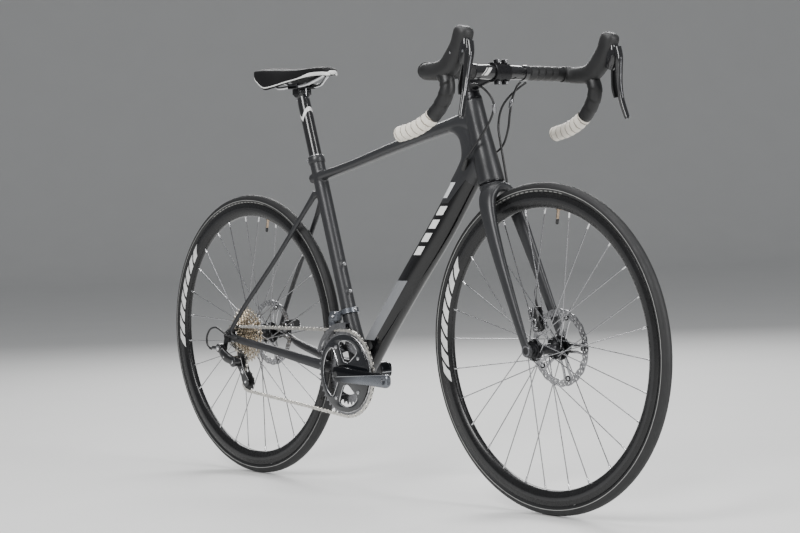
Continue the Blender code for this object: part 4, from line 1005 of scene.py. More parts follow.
def make_saddle(looks):
    sizes = saddle_sizes(5)
    cover = piece("saddle_cushion", loft([saddle_ring(*size) for size in sizes]), looks["saddle"],
                  "saddle", ["saddle_cover"], 70)
    for side, name in SIDES:
        rings = []
        for x, half, top, skirt, _ in sizes[4:]:
            share = min(1.0, max(0.0, (x + 0.262) / 0.035))
            high = 0.0015 + 0.0027 * share ** 1.3
            high = min(high, skirt * 0.40)
            base = Vector((x, half * 0.972 * side, top - skirt * (0.90 - 0.10 * share)))
            rings.append(outline(base, Y_AXIS, Z_AXIS, 0.0012, high, 12))
        piece(f"saddle_piping_{name}", loft(rings), looks["saddle_trim"], "saddle",
              smooth=70)
    nose = Vector((-0.1662, 0, 0.9452))
    piece("saddle_nose_tip", loft([
        outline(nose - X_AXIS * 0.003, Y_AXIS, Z_AXIS, 0.0145, 0.0050, 24, 2.4),
        outline(nose, Y_AXIS, Z_AXIS, 0.0130, 0.0046, 24, 2.4),
        outline(nose + X_AXIS * 0.0026, Y_AXIS, Z_AXIS, 0.0096, 0.0034, 24, 2.4),
    ]), looks["saddle_trim"], "saddle", smooth=70)

    rings = []
    for x, half, top, skirt, _ in sizes[8:-8]:
        half = min(half * 0.62, 0.026)
        under = top - min(skirt * 0.5, 0.0150) - 0.0008
        rings.append(outline(Vector((x, 0, under - 0.0022)), Y_AXIS, Z_AXIS, half, 0.0026, 28, 3.4))
    piece("saddle_base", loft(rings), looks["shell"], "saddle", ["saddle_shell"])

    for side, name in SIDES:
        points = [
            (-0.3960, 0.0120 * side, 0.9440), (-0.3920, 0.0140 * side, 0.9420),
            (-0.3700, 0.0200 * side, 0.9320), (-0.3460, 0.0220 * side, 0.9200),
            (-0.3050, 0.0220 * side, 0.9200), (-0.2620, 0.0220 * side, 0.9200),
            (-0.2360, 0.0200 * side, 0.9225), (-0.2150, 0.0130 * side, 0.9300),
            (-0.1900, 0.0060 * side, 0.9400),
        ]
        piece(f"saddle_rail_tube_{name}", tube(points, 0.0035, 16, 6), looks["silver"], "saddle",
              [f"saddle_rail_{name}"])
    make_saddle_clamp(looks)


def make_saddle_clamp(looks):
    pivot = SADDLE_PIVOT
    lower = block(pivot + Z_AXIS * 0.0105, (0.0360, 0.0560, 0.0060), None, 0.0016, 3)
    upper = block(pivot + Z_AXIS * 0.0165, (0.0300, 0.0580, 0.0042), None, 0.0016, 3)
    ears = []
    for side in (-1, 1):
        ears.append(block(pivot + Vector((0, 0.0220 * side, 0.0123)), (0.0360, 0.0120, 0.0120),
                          None, 0.0025, 3))
        ears.append(block(pivot + Vector((0, 0.0175 * side, 0.0020)), (0.0240, 0.0022, 0.0180),
                          None, 0.0008, 2))
    piece("saddle_cradle", joined(lower, upper, *ears), looks["black"], "saddle",
          ["saddle_clamp"])
    bolts = []
    for way in (-1, 1):
        top = pivot + Vector((0.0155 * way, 0, 0.0185))
        bolts.append(rod(top - Z_AXIS * 0.036, top, 0.0021, 16))
        bolts.append(socket_bolt(top, Z_AXIS, 0.0040, 0.0026))
        bolts.append(rod(top + Vector((0, -0.0050, -0.0335)), top + Vector((0, 0.0050, -0.0335)), 0.0034, 20))
    piece("saddle_bolts", joined(*bolts), looks["silver"], "saddle")


# ---------------------------------------------------------------- fork, stem and bar

def make_fork(looks):
    stations = [
        ((0.5070, 0.0535, 0.3400), 0.0036, 0.0102), ((0.4900, 0.0530, 0.3800), 0.0057, 0.0110),
        ((0.4600, 0.0505, 0.4500), 0.0077, 0.0127), ((0.4260, 0.0470, 0.5300), 0.0092, 0.0152),
        ((0.3980, 0.0420, 0.6000), 0.0107, 0.0182), ((0.3830, 0.0330, 0.6420), 0.0122, 0.0207),
        ((0.3780, 0.0160, 0.6640), 0.0122, 0.0226),
    ]
    right = [(mirrored(point), across, deep) for point, across, deep in stations]
    middle = [(Vector((0.3765, 0, 0.6680)), 0.0122, 0.0230)]
    neck = lathe(
        [(-0.030, 0), (-0.028, 0.0246), (-0.014, 0.0270), (-0.0068, 0.0278), (-0.0068, 0.0135),
         (0.231, 0.0135), (0.231, 0)],
        steer_at(0.3714), STEER_AXIS, 64,
    )
    plates = [rod(FRONT_AXLE + Y_AXIS * side * 0.0500, FRONT_AXLE + Y_AXIS * side * 0.0571, 0.0135, 40)
              for side in (-1, 1)]
    mesh = joined(sweep(stations + middle + right[::-1], X_AXIS, 8, 32, 2.3), neck, *plates)
    piece("fork_body", fused(mesh, 0.0018, 4), looks["fork"], "steering", ["fork"], 60)


def make_stem(looks):
    cover = lathe(
        [(0, 0.0145), (0, 0.0212), (0.0012, 0.0214), (0.0060, 0.0202), (0.0100, 0.0190),
         (0.0134, 0.0186), (0.0134, 0.0145)], steer_at(0.5503), STEER_AXIS, 64)
    piece("headset_dust_cover", cover, looks["black"], "steering", ["headset_cover"])
    clamp = steer_at(0.5840)
    neck = [
        (clamp, 0.0150, 0.0165), (clamp.lerp(BAR_CENTRE, 0.5), 0.0145, 0.0150),
        (BAR_CENTRE - X_AXIS * 0.008, 0.0158, 0.0158),
    ]
    mesh = joined(
        rod(steer_at(0.5641), steer_at(0.6039), 0.0189, 64),
        sweep(neck, Z_AXIS, 8, 36, 2.5),
        rod(BAR_CENTRE - Y_AXIS * 0.0215, BAR_CENTRE + Y_AXIS * 0.0215, 0.0203, 64),
    )
    body = fused(mesh, 0.0011, 4)
    half = bmesh.ops.bisect_plane(
        body, geom=body.verts[:] + body.edges[:] + body.faces[:], plane_co=BAR_CENTRE + X_AXIS * 0.0006,
        plane_no=X_AXIS, clear_outer=True)
    rim = [item for item in half["geom_cut"] if isinstance(item, bmesh.types.BMEdge)]
    bmesh.ops.holes_fill(body, edges=rim)
    piece("stem_body", body, looks["black"], "steering", ["stem"], 50)

    plate_mesh = lathe(
        [(-0.0205, 0.0163), (-0.0205, 0.0196), (-0.0198, 0.0204), (0.0198, 0.0204),
         (0.0205, 0.0196), (0.0205, 0.0163)], BAR_CENTRE, Y_AXIS, 96, X_AXIS)
    cut_off = bmesh.ops.bisect_plane(
        plate_mesh, geom=plate_mesh.verts[:] + plate_mesh.edges[:] + plate_mesh.faces[:],
        plane_co=BAR_CENTRE + X_AXIS * 0.0014, plane_no=X_AXIS, clear_inner=True)
    rim = [item for item in cut_off["geom_cut"] if isinstance(item, bmesh.types.BMEdge)]
    bmesh.ops.holes_fill(plate_mesh, edges=rim)
    ears = [block(BAR_CENTRE + Vector((0.0068, y, 0.0213 * way)), (0.0106, 0.0110, 0.0092), None, 0.0018, 3)
            for way in (-1, 1) for y in (-0.0105, 0.0105)]
    piece("faceplate", joined(plate_mesh, *ears), looks["black"], "steering",
          ["stem_faceplate"])
    bolts = [socket_bolt(BAR_CENTRE + Vector((0.0119, y, 0.0218 * way)), X_AXIS, 0.0034, 0.0026)
             for way in (-1, 1) for y in (-0.0105, 0.0105)]
    for distance in (0.5725, 0.5955):
        middle = steer_at(distance) - X_AXIS * 0.0185
        bolts.append(socket_bolt(middle - Y_AXIS * 0.0062, -Y_AXIS, 0.0033, 0.0026))
    piece("stem_bolts", joined(*bolts), looks["steel"], "steering")
    clamp_lugs = [block(steer_at(distance) - X_AXIS * 0.0180 + Y_AXIS * y, (0.0095, 0.0050, 0.0095),
                        None, 0.0016, 3) for distance in (0.5725, 0.5955) for y in (-0.0037, 0.0037)]
    piece("stem_clamp_lugs", joined(*clamp_lugs), looks["black"], "steering")
    cap = lathe(
        [(0, 0), (0, 0.0172), (0.0006, 0.0176), (0.0030, 0.0175), (0.0050, 0.0160), (0.0055, 0.0140),
         (0.0055, 0.0048), (0.0038, 0.0046), (0.0038, 0)], steer_at(0.6043), STEER_AXIS, 64)
    piece("top_cap", cap, looks["black"], "steering", ["stem_cap"])
    piece("top_cap_bolt", socket_bolt(steer_at(0.6075), STEER_AXIS, 0.0042, 0.0020), looks["steel"],
          "steering")


BAR_LINE = (
    (0.3930, 0.0000, 0.9030), (0.3930, 0.0280, 0.9030), (0.3930, 0.0700, 0.9030),
    (0.3920, 0.1150, 0.9030), (0.3895, 0.1600, 0.9030), (0.3890, 0.1860, 0.9028),
    (0.3975, 0.2010, 0.9020), (0.4160, 0.2050, 0.9005), (0.4420, 0.2045, 0.8965),
    (0.4620, 0.2040, 0.8830), (0.4660, 0.2050, 0.8620), (0.4560, 0.2070, 0.8400),
    (0.4370, 0.2095, 0.8190), (0.4100, 0.2120, 0.8010), (0.3730, 0.2150, 0.7870),
    (0.3290, 0.2175, 0.7790),
)
BAR_RADII = (0.0159, 0.0157, 0.0138) + (0.0119,) * 13
TAPE_FROM = 2


def even_path(points, spacing):
    """The curve through the points, cut into even steps."""
    fine = smooth_path(points, 40)
    total = sum((b - a).length for a, b in zip(fine, fine[1:]))
    count = max(2, round(total / spacing))
    path, want, gone = [fine[0]], total / count, 0.0
    for a, b in zip(fine, fine[1:]):
        length = (b - a).length
        while len(path) < count and gone + length >= want * len(path):
            path.append(a.lerp(b, (want * len(path) - gone) / max(length, 1e-9)))
        gone += length
    return path[:count] + [fine[-1]]


def wrapped(points, radius, pitch, ridge, first, last, way, sides=36):
    """Tape wound round a tube: each turn laps over the one before, from first to last along it."""
    path = even_path(points, 0.0016)
    rings, seams, side = [], [], None
    begin, end = round(first * (len(path) - 1)), round(last * (len(path) - 1))
    for number, point in enumerate(path):
        before, after = path[max(number - 1, 0)], path[min(number + 1, len(path) - 1)]
        tangent = (after - before).normalized()
        side = side or Z_AXIS.cross(tangent).normalized()
        side = (side - tangent * side.dot(tangent)).normalized()
        if not begin <= number <= end:
            continue
        other = tangent.cross(side)
        ring = []
        for step in range(sides):
            angle = math.tau * step / sides
            phase = (number * 0.0016 / pitch + way * step / sides) % 1.0
            lap = phase if phase < 0.86 else (1 - phase) / 0.14 * 0.86
            size = radius - ridge + ridge * lap
            # seam is 1 at each lap's edge, where the tape materials paint shade in the crease.
            seams.append(1.0 if phase > 0.83 or phase < 0.03 else 0.0)
            ring.append(point + (side * math.cos(angle) + other * math.sin(angle)) * size)
        rings.append(ring)
    mesh = loft(rings)
    layer = mesh.verts.layers.float.new("seam")
    for vert, value in zip(mesh.verts, seams):
        vert[layer] = value
    return mesh


def bar_look():
    """Gloss black with one plain slanted block beside the stem."""
    look = gloss_black("bar_gloss", (0.009, 0.009, 0.010), 0.18)
    x, y, z = look.axes((0, 0, -0.903))
    side = look.minus(look.times(z, 0.9), y)
    marks = look.add(look.band(side, 0.0370, 0.0460), look.band(side, 0.0490, 0.0515))
    marks = look.times(marks, look.band(z, -0.0080, 0.0080))
    look.paint(marks, (0.66, 0.66, 0.65), 0.35)
    return look


def make_bar(looks):
    line = [Vector((x, -y, z)) for x, y, z in BAR_LINE[:0:-1]] + [Vector(point) for point in BAR_LINE]
    piece("bar_tube", tube(line, list(BAR_RADII[:0:-1]) + list(BAR_RADII), 36, 6), bar_look(),
          "steering", ["handlebar"])
    for side, name in SIDES:
        points = [Vector((x, y * side, z)) for x, y, z in BAR_LINE[TAPE_FROM:]]
        change = 0.742
        dark = wrapped(points, 0.0160, 0.021, 0.0012, 0.0, change, side)
        piece(f"dark_wrap_{name}", dark, looks["dark_tape"], "steering",
              [f"bar_tape_{name}"], 50)
        light = wrapped(points, 0.0165, 0.0160, 0.0018, change - 0.004, 1.0, side)
        piece(f"white_wrap_{name}", light, looks["white_tape"], "steering", smooth=50)
        start = points[0]
        band = lathe([(0, 0.0139), (0, 0.0160), (0.0100, 0.0164), (0.0104, 0.0139)],
                     start - Y_AXIS * side * 0.0052, Y_AXIS * side, 48)
        piece(f"wrap_end_band_{name}", band, looks["gloss"], "steering")
        tail = (points[-1] - points[-2]).normalized()
        plug = lathe([(-0.002, 0), (-0.002, 0.0140), (0.0006, 0.0150), (0.0018, 0.0142), (0.0022, 0.0080),
                      (0.0018, 0)], points[-1], tail, 40)
        piece(f"bar_plug_{name}", plug, looks["gloss"], "steering")


def make_hoods(looks):
    for side, name in SIDES:
        body = [
            ((0.3990, 0.2010 * side, 0.9000), 0.0163, 0.0163),
            ((0.4200, 0.2040 * side, 0.8985), 0.0172, 0.0176),
            ((0.4480, 0.2030 * side, 0.8990), 0.0187, 0.0190),
            ((0.4680, 0.2022 * side, 0.9050), 0.0185, 0.0205),
            ((0.4880, 0.2022 * side, 0.9230), 0.0175, 0.0215),
            ((0.5030, 0.2020 * side, 0.9430), 0.0168, 0.0203),
            ((0.5125, 0.2020 * side, 0.9610), 0.0185, 0.0200),
            ((0.5175, 0.2020 * side, 0.9735), 0.0172, 0.0186),
            ((0.5195, 0.2020 * side, 0.9795), 0.0100, 0.0110),
        ]
        hood = fused(sweep(body, Z_AXIS + X_AXIS * -0.6, 6, 36, 2.4), 0.0013, 6)
        piece(f"hood_{name}", hood, looks["hood"], "steering", [f"lever_hood_{name}"], 60)
        cuff = tube([(0.3892, 0.1840 * side, 0.9026), (0.3915, 0.1935 * side, 0.9024),
                     (0.3990, 0.2012 * side, 0.9016)], [0.0166, 0.0169, 0.0170], 36, 4)
        piece(f"hood_cuff_{name}", cuff, looks["hood"], "steering")
        pod = [
            ((0.5120, 0.2030 * side, 0.9060), 0.0085, 0.0100),
            ((0.5190, 0.2032 * side, 0.9200), 0.0120, 0.0125),
            ((0.5240, 0.2034 * side, 0.9380), 0.0130, 0.0115),
            ((0.5245, 0.2034 * side, 0.9530), 0.0110, 0.0080),
            ((0.5230, 0.2032 * side, 0.9600), 0.0060, 0.0040),
        ]
        pod_mesh = sweep(pod, X_AXIS, 6, 28, 2.6)
        piece(f"lever_pod_{name}", pod_mesh, looks["gloss"], "steering")
        out = Y_AXIS * side
        pin = joined(
            rod(Vector((0.5270, 0.2165 * side, 0.9300)), Vector((0.5270, 0.1915 * side, 0.9300)), 0.0026, 20),
            lathe([(0, 0), (0, 0.0019), (0.0006, 0.0016), (0.0006, 0)],
                  Vector((0.4930, 0.2196 * side, 0.9290)), out, 20),
        )
        piece(f"lever_pin_{name}", pin, looks["silver"], "steering")


def make_levers(looks):
    for side, name in SIDES:
        blade = [
            ((0.5345, 0.2045 * side, 0.9500), 0.0100, 0.0045),
            ((0.5360, 0.2060 * side, 0.9300), 0.0105, 0.0062),
            ((0.5330, 0.2085 * side, 0.9050), 0.0095, 0.0058),
            ((0.5300, 0.2125 * side, 0.8720), 0.0080, 0.0042),
            ((0.5290, 0.2185 * side, 0.8400), 0.0076, 0.0038),
            ((0.5320, 0.2290 * side, 0.8060), 0.0070, 0.0034),
            ((0.5325, 0.2300 * side, 0.8040), 0.0050, 0.0024),
        ]
        piece(f"brake_blade_{name}", sweep(blade, X_AXIS, 6, 28, 2.6), looks["gloss"],
              f"brake_lever_{name}", [f"brake_lever_{name}"])
        stripe = [
            ((0.5402, 0.2068 * side, 0.9280), 0.0018, 0.0024),
            ((0.5372, 0.2090 * side, 0.9050), 0.0022, 0.0024),
            ((0.5330, 0.2128 * side, 0.8720), 0.0020, 0.0018),
            ((0.5316, 0.2186 * side, 0.8440), 0.0014, 0.0016),
        ]
        piece(f"brake_blade_inlay_{name}", sweep(stripe, X_AXIS, 6, 16, 2.4), looks["dim_steel"],
              f"brake_lever_{name}")
        paddle = [
            ((0.5180, 0.2070 * side, 0.9050), 0.0055, 0.0030),
            ((0.5170, 0.2090 * side, 0.8860), 0.0075, 0.0028),
            ((0.5165, 0.2120 * side, 0.8640), 0.0095, 0.0026),
            ((0.5175, 0.2150 * side, 0.8460), 0.0075, 0.0024),
        ]
        piece(f"shift_blade_{name}", sweep(paddle, X_AXIS, 6, 24, 2.4), looks["dark"],
              f"shift_paddle_{name}", [f"shift_paddle_{name}"])


def make_hoses(looks):
    front_hose = [
        (0.4000, 0.0700, 0.8830), (0.3920, 0.0600, 0.8740), (0.3780, 0.0430, 0.8560),
        (0.3650, 0.0300, 0.8300), (0.3620, 0.0230, 0.7950), (0.3688, 0.0200, 0.7650),
        (0.3776, 0.0195, 0.7240), (0.3850, 0.0200, 0.6830), (0.3850, 0.0210, 0.6620),
    ]
    piece("front_hose", tube(front_hose, CORD_RADIUS, 16, 10), looks["hose"], "steering",
          ["front_brake_hose"])
    leg_hose = [
        (0.4440, 0.0500, 0.4780), (0.4300, 0.0560, 0.4640), (0.4200, 0.0590, 0.4470),
        (0.4240, 0.0570, 0.4260), (0.4380, 0.0500, 0.4120),
    ]
    piece("front_hose_lower", tube(leg_hose, CORD_RADIUS, 16, 8), looks["hose"], "steering")
    right = [
        (0.3600, -0.0500, 0.8805), (0.3800, -0.0460, 0.8770), (0.3980, -0.0360, 0.8600),
        (0.4030, -0.0260, 0.8370), (0.3930, -0.0240, 0.8110), (0.3730, -0.0290, 0.7810),
        (0.3440, -0.0320, 0.7510), (0.3120, -0.0300, 0.7240),
    ]
    left = [
        (0.4060, 0.0480, 0.8830), (0.3960, 0.0460, 0.8730), (0.3880, 0.0400, 0.8490),
        (0.3850, 0.0350, 0.8190), (0.3800, 0.0330, 0.7860), (0.3620, 0.0330, 0.7530),
        (0.3280, 0.0310, 0.7330),
    ]
    for name, points, high in (("right", right, 3), ("left", left, 2)):
        made = piece(f"shift_housing_tube_{name}", tube(points, CORD_RADIUS, 16, 10), looks["hose"], None,
                     [f"shift_housing_{name}"], riding=False)
        way = (Vector(points[high + 1]) - Vector(points[high - 1])).normalized()
        barrel = lathe([(0, 0.0020), (0, 0.0030), (0.0020, 0.0040), (0.0120, 0.0040), (0.0140, 0.0034),
                        (0.0190, 0.0032), (0.0195, 0.0020)], Vector(points[high]), way, 24)
        adjuster = piece(f"cable_adjuster_{name}", barrel, looks["dim_steel"], None, riding=False)
        for item in (made, adjuster):
            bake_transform(item)
    rear_housing = [
        (-0.4700, -0.0765, 0.3325), (-0.4830, -0.0835, 0.3350), (-0.4930, -0.0864, 0.3378),
        (-0.5080, -0.0872, 0.3420), (-0.5250, -0.0886, 0.3505), (-0.5430, -0.0900, 0.3570),
        (-0.5640, -0.0920, 0.3520), (-0.5780, -0.0930, 0.3340), (-0.5770, -0.0930, 0.3150),
        (-0.5620, -0.0930, 0.3060),
    ]
    rear = joined(
        tube(rear_housing, CORD_RADIUS, 16, 10),
        lathe([(0, 0.0020), (0, 0.0034), (0.0070, 0.0036), (0.0080, 0.0020)],
              Vector((-0.5600, -0.0930, 0.3058)), Vector((-0.0100, 0, 0.0030)), 20),
    )
    piece("rear_housing_tube", rear, looks["hose"], "frame", ["rear_shift_housing"])


# ---------------------------------------------------------------- wheels

FLANGES = {"front": (-0.0330, 0.0240), "rear": (-0.0180, 0.0330)}
NIPPLE_PHASE = {"front": math.radians(10.5), "rear": math.radians(5.1)}
VALVE_ANGLE = {"front": math.radians(80.6), "rear": math.radians(75.3)}


def make_tyre(end, axle, looks):
    half, crown, wall = 0.0125, WHEEL_RADIUS - 0.0125, 0.0030
    outside = []
    for k in range(27):
        angle = math.radians(-38 + 256 * k / 26)
        outside.append((half * math.cos(angle), crown + half * math.sin(angle)))
    inside = [((half - wall) * math.cos(math.radians(a)), crown + (half - wall) * math.sin(math.radians(a)))
              for a in (218, 180, 140, 90, 40, 0, -38)]
    piece(f"{end}_tyre_skin", lathe(outside + inside, axle, Y_AXIS, 200, X_AXIS), looks[f"{end}_tyre"],
          f"{end}_wheel", [f"{end}_tyre"], 60)


def make_rim(end, axle, looks):
    inner, outer, half = 0.2855, 0.3165, 0.0123
    side = [(0.0, inner), (0.0030, inner + 0.0001), (0.0052, inner + 0.0008), (0.0074, inner + 0.0030),
            (0.0100, inner + 0.0080), (0.0118, inner + 0.0125), (0.0123, inner + 0.0160),
            (0.0122, inner + 0.0210), (0.0112, outer - 0.0012), (0.0106, outer), (0.0084, outer),
            (0.0080, outer - 0.006), (0.0, outer - 0.0068)]
    profile = side + [(-y, r) for y, r in side[-2:0:-1]]
    piece(f"{end}_rim_band", lathe(profile, axle, Y_AXIS, 200, X_AXIS), looks[f"{end}_rim"],
          f"{end}_wheel", [f"{end}_rim"], 40)
    angle = VALVE_ANGLE[end]
    inward = on_plane(angle, -1.0, Vector(), 0)
    start = on_plane(angle, 0.2858, axle, 0)
    nut = lathe([(0, 0), (0, 0.0052), (0.0016, 0.0052), (0.0020, 0.0034), (0.0020, 0)], start, inward, 20)
    stem = rod(start, start + inward * 0.0200, 0.0030, 24, 0.0003)
    piece(f"{end}_valve", joined(nut, stem), looks["brass"], f"{end}_wheel")
    tip = lathe([(0, 0), (0, 0.0034), (0.0090, 0.0033), (0.0110, 0.0022), (0.0110, 0)],
                start + inward * 0.0200, inward, 24)
    piece(f"{end}_valve_cap", tip, looks["dark"], f"{end}_wheel")


def make_spokes(end, axle, looks):
    for side, flange_y in zip(("right", "left"), FLANGES[end]):
        phase = NIPPLE_PHASE[end] + (0.0 if flange_y < 0 else math.pi / SPOKES_PER_SIDE)
        spokes, nipples = [], []
        for number in range(SPOKES_PER_SIDE):
            turn = 1 if number % 2 else -1
            rim_angle = phase + math.tau * number / SPOKES_PER_SIDE
            hub_angle = rim_angle + turn * math.radians(74)
            start = on_plane(hub_angle, 0.0190, axle, flange_y + 0.0022 * turn)
            end_point = on_plane(rim_angle, 0.2862, axle, math.copysign(0.0025, flange_y))
            along = (end_point - start).normalized()
            spokes.append(rod(start, end_point - along * 0.009, 0.0011, 8))
            spokes.append(rod(start - Y_AXIS * turn * 0.0044, start + Y_AXIS * turn * 0.0008, 0.0018, 10))
            nipples.append(lathe(
                [(0, 0), (0, 0.0015), (0.0015, 0.0021), (0.0125, 0.0022), (0.0125, 0)],
                end_point - along * 0.0125, along, 10))
        piece(f"{end}_spoke_wires_{side}", joined(*spokes), looks["dark_steel"], f"{end}_wheel",
              [f"{end}_spokes_{side}"])
        piece(f"{end}_nipples_{side}", joined(*nipples), looks["silver"], f"{end}_wheel")


def make_hub(end, axle, low, high, looks):
    near, far = FLANGES[end]
    profile = [
        (low, AXLE_HOLE), (low, 0.0090), (low + 0.0006, 0.0097), (low + 0.0060, 0.0100),
        (low + 0.0075, 0.0135), (near - 0.0034, 0.0140), (near - 0.0022, 0.0160), (near - 0.0022, 0.0218),
        (near - 0.0016, 0.0225), (near + 0.0016, 0.0225), (near + 0.0022, 0.0218), (near + 0.0022, 0.0160),
        (near + 0.0050, 0.0135), (near + 0.0120, 0.0110), (far - 0.0120, 0.0110), (far - 0.0050, 0.0135),
        (far - 0.0022, 0.0160), (far - 0.0022, 0.0218), (far - 0.0016, 0.0225), (far + 0.0016, 0.0225),
        (far + 0.0022, 0.0218), (far + 0.0022, 0.0160), (far + 0.0034, 0.0140), (high - 0.0075, 0.0135),
        (high - 0.0060, 0.0100), (high - 0.0006, 0.0097), (high, 0.0090), (high, AXLE_HOLE),
    ]
    if end == "rear":
        profile = [(low, AXLE_HOLE), (low, 0.0140), (near - 0.0024, 0.0150)] + profile[6:]
    piece(f"{end}_hub_shell", lathe(profile, axle, Y_AXIS, 64), looks["black"], f"{end}_wheel",
          [f"{end}_hub"])


def make_rotor(end, axle, y, looks):
    """A braking track drilled in slanting rows, on a black five-armed carrier."""
    lobes = 20
    outside, inside = [], []
    for k in range(240):
        angle = math.tau * k / 240
        wave = 0.5 + 0.5 * math.cos(lobes * angle)
        outside.append(polar(angle, 0.0800 - 0.0016 * (1 - wave) ** 2))
        inside.append(polar(angle, 0.0640 + 0.0022 * wave ** 2))
    holes = []
    for k in range(lobes * 2):
        base = math.tau * (k + 0.5) / (lobes * 2)
        for radius, shift in ((0.0690, 0.0), (0.0748, 0.055)):
            spot = polar(base + shift, radius)
            holes.append(circle(0.0023 if k % 2 else 0.0019, 12, spot))
    track = plate([outside, inside, *holes], 0.0018, wheel_plane(axle, y))
    piece(f"{end}_rotor_track", track, looks["track"], f"{end}_wheel", [f"{end}_rotor"])
    parts = [lathe([(-0.0022, 0.0146), (-0.0022, 0.0245), (-0.0016, 0.0252), (0.0016, 0.0252),
                    (0.0022, 0.0245), (0.0022, 0.0146)], axle + Y_AXIS * y, Y_AXIS, 64)]
    arms, rivets = [], []
    for number in range(5):
        base = math.tau * number / 5
        for way in (-1, 1):
            edge = []
            for k in range(9):
                t = k / 8
                edge.append((base + way * (0.50 * (1 - t) ** 2 * 0.6 + 0.16 * t), 0.0225 + 0.0435 * t))
            left = [polar(a - 0.0028 / r, r) for a, r in edge]
            right = [polar(a + 0.0028 / r, r) for a, r in edge[::-1]]
            arms.append(plate([left + right], 0.0022, wheel_plane(axle, y)))
        tab = on_plane(base, 0.0650, axle, y)
        parts.append(rod(tab - Y_AXIS * 0.0013, tab + Y_AXIS * 0.0013, 0.0062, 24))
        rivets.append(rod(tab - Y_AXIS * 0.0018, tab + Y_AXIS * 0.0018, 0.0036, 20, 0.0004))
    piece(f"{end}_rotor_carrier", joined(*parts), looks["black"], f"{end}_wheel")
    piece(f"{end}_rotor_arms", joined(*arms), looks["steel"], f"{end}_wheel")
    piece(f"{end}_rotor_rivets", joined(*rivets), looks["silver"], f"{end}_wheel")


def make_axles(looks):
    for end, axle, low, high in (("front", FRONT_AXLE, -0.0560, 0.0574),
                                 ("rear", REAR_AXLE, -0.0820, 0.0784)):
        profile = [
            (low, 0), (low, 0.0054), (low + 0.0006, 0.0060), (high, 0.0060), (high, 0.0088),
            (high + 0.0008, 0.0094), (high + 0.0050, 0.0090), (high + 0.0068, 0.0074),
            (high + 0.0068, 0.0036), (high + 0.0030, 0.0034), (high + 0.0030, 0),
        ]
        piece(f"{end}_axle_bolt", lathe(profile, axle, Y_AXIS, 48), looks["black"],
              "steering" if end == "front" else "frame", [f"{end}_thru_axle"])
    ring = lathe([(0.0569, 0.0074), (0.0569, 0.0104), (0.0573, 0.0108), (0.0577, 0.0104),
                  (0.0577, 0.0074)], FRONT_AXLE, -Y_AXIS, 48)
    piece("front_axle_eye", ring, looks["dim_steel"], "steering")
    # A dark disc over the axle's open end: painted shade standing for the hollow inside it.
    pit = lathe([(0.0569, 0), (0.0569, 0.0075), (0.0573, 0.0075), (0.0573, 0)], FRONT_AXLE, -Y_AXIS, 48)
    piece("front_axle_hollow_shade", pit, looks["dark"], "steering")


def make_caliper(end, centre, lean, rotor_y, body, looks):
    turn = Matrix.Rotation(math.radians(lean), 3, "Y")
    axle = FRONT_AXLE if centre.x > 0 else REAR_AXLE
    inward = (axle - centre).normalized()
    inward.y = 0
    slot_turn = inward.to_track_quat("X", "Z").to_matrix()
    shell = joined(
        block(centre, (0.0235, 0.0270, 0.0500), turn, 0.0050, 4),
        block(centre + turn @ Vector((0, 0, 0.012)), (0.0255, 0.0200, 0.0260), turn, 0.0040, 4),
        rod(centre - Y_AXIS * 0.0148 - turn @ Vector((0, 0, 0.006)),
            centre + Y_AXIS * 0.0148 - turn @ Vector((0, 0, 0.006)), 0.0105, 40, 0.0012),
    )
    shell = fused(shell, 0.0011, 3)
    slot = block(Vector((centre.x, rotor_y, centre.z)) + inward * 0.012, (0.0420, 0.0050, 0.0900), slot_turn)
    piece(f"{end}_caliper_body", carved(shell, [slot]), looks["dark"], body,
          [f"{end}_brake_caliper"], 50)
    bolts = []
    for reach in (-0.020, 0.020):
        place = centre + turn @ Vector((0.0040, 0, reach)) + Y_AXIS * 0.0118
        bolts.append(socket_bolt(place, Y_AXIS, 0.0040, 0.0026))
        near = centre + turn @ Vector((0.0020, 0, reach)) - Y_AXIS * 0.0124
        bolts.append(socket_bolt(near, -Y_AXIS, 0.0038, 0.0024))
    for way in (-1, 1):
        rim = centre - turn @ Vector((0, 0, 0.006)) + Y_AXIS * way * 0.0146
        bolts.append(lathe([(0, 0.0062), (0, 0.0094), (0.0008, 0.0098), (0.0014, 0.0092), (0.0014, 0.0062)],
                           rim, Y_AXIS * way, 32))
    pin = centre + turn @ Vector((-0.0112, 0, 0.004))
    bolts.append(rod(pin - Y_AXIS * 0.0150, pin + Y_AXIS * 0.0150, 0.0016, 14))
    bleed = centre + turn @ Vector((-0.0090, -0.006, 0.0245))
    bolts.append(socket_bolt(bleed, turn @ Vector((-0.5, 0, 1)), 0.0030, 0.0050))
    piece(f"{end}_caliper_bolts", joined(*bolts), looks["steel"], body)


# ---------------------------------------------------------------- transmission

def pitch_radius(teeth):
    return LINK_PITCH / (2 * math.sin(math.pi / teeth))


def toothed(teeth, phase, root=0.0036, tip=0.0031):
    """The outline of a chain wheel: round seats for the rollers between short pointed teeth."""
    radius = pitch_radius(teeth)
    points = []
    for number in range(teeth):
        base = phase + math.tau * number / teeth
        step = math.tau / teeth
        for share, height in ((-0.22, -root * 0.75), (-0.10, -root), (0.0, -root * 1.06), (0.10, -root),
                              (0.22, -root * 0.75), (0.34, tip * 0.10), (0.43, tip * 0.80),
                              (0.50, tip), (0.57, tip * 0.80), (0.66, tip * 0.10)):
            points.append(polar(base + share * step, radius + height))
    return points


def chain_wheel(teeth, phase, inner, thickness, centre, y, windows=0, rim=0.0):
    loops = [toothed(teeth, phase), circle(inner, 64)]
    if windows:
        for number in range(windows):
            base = phase + math.tau * number / windows
            low, high, half = inner + 0.0035, pitch_radius(teeth) - rim, math.pi / windows - 0.10
            arc = [polar(base + half * k / 5, high) for k in range(-5, 6)]
            arc += [polar(base + half * 0.72 * k / 5, low) for k in range(5, -6, -1)]
            loops.append(arc)
    return plate(loops, thickness, wheel_plane(centre, y))


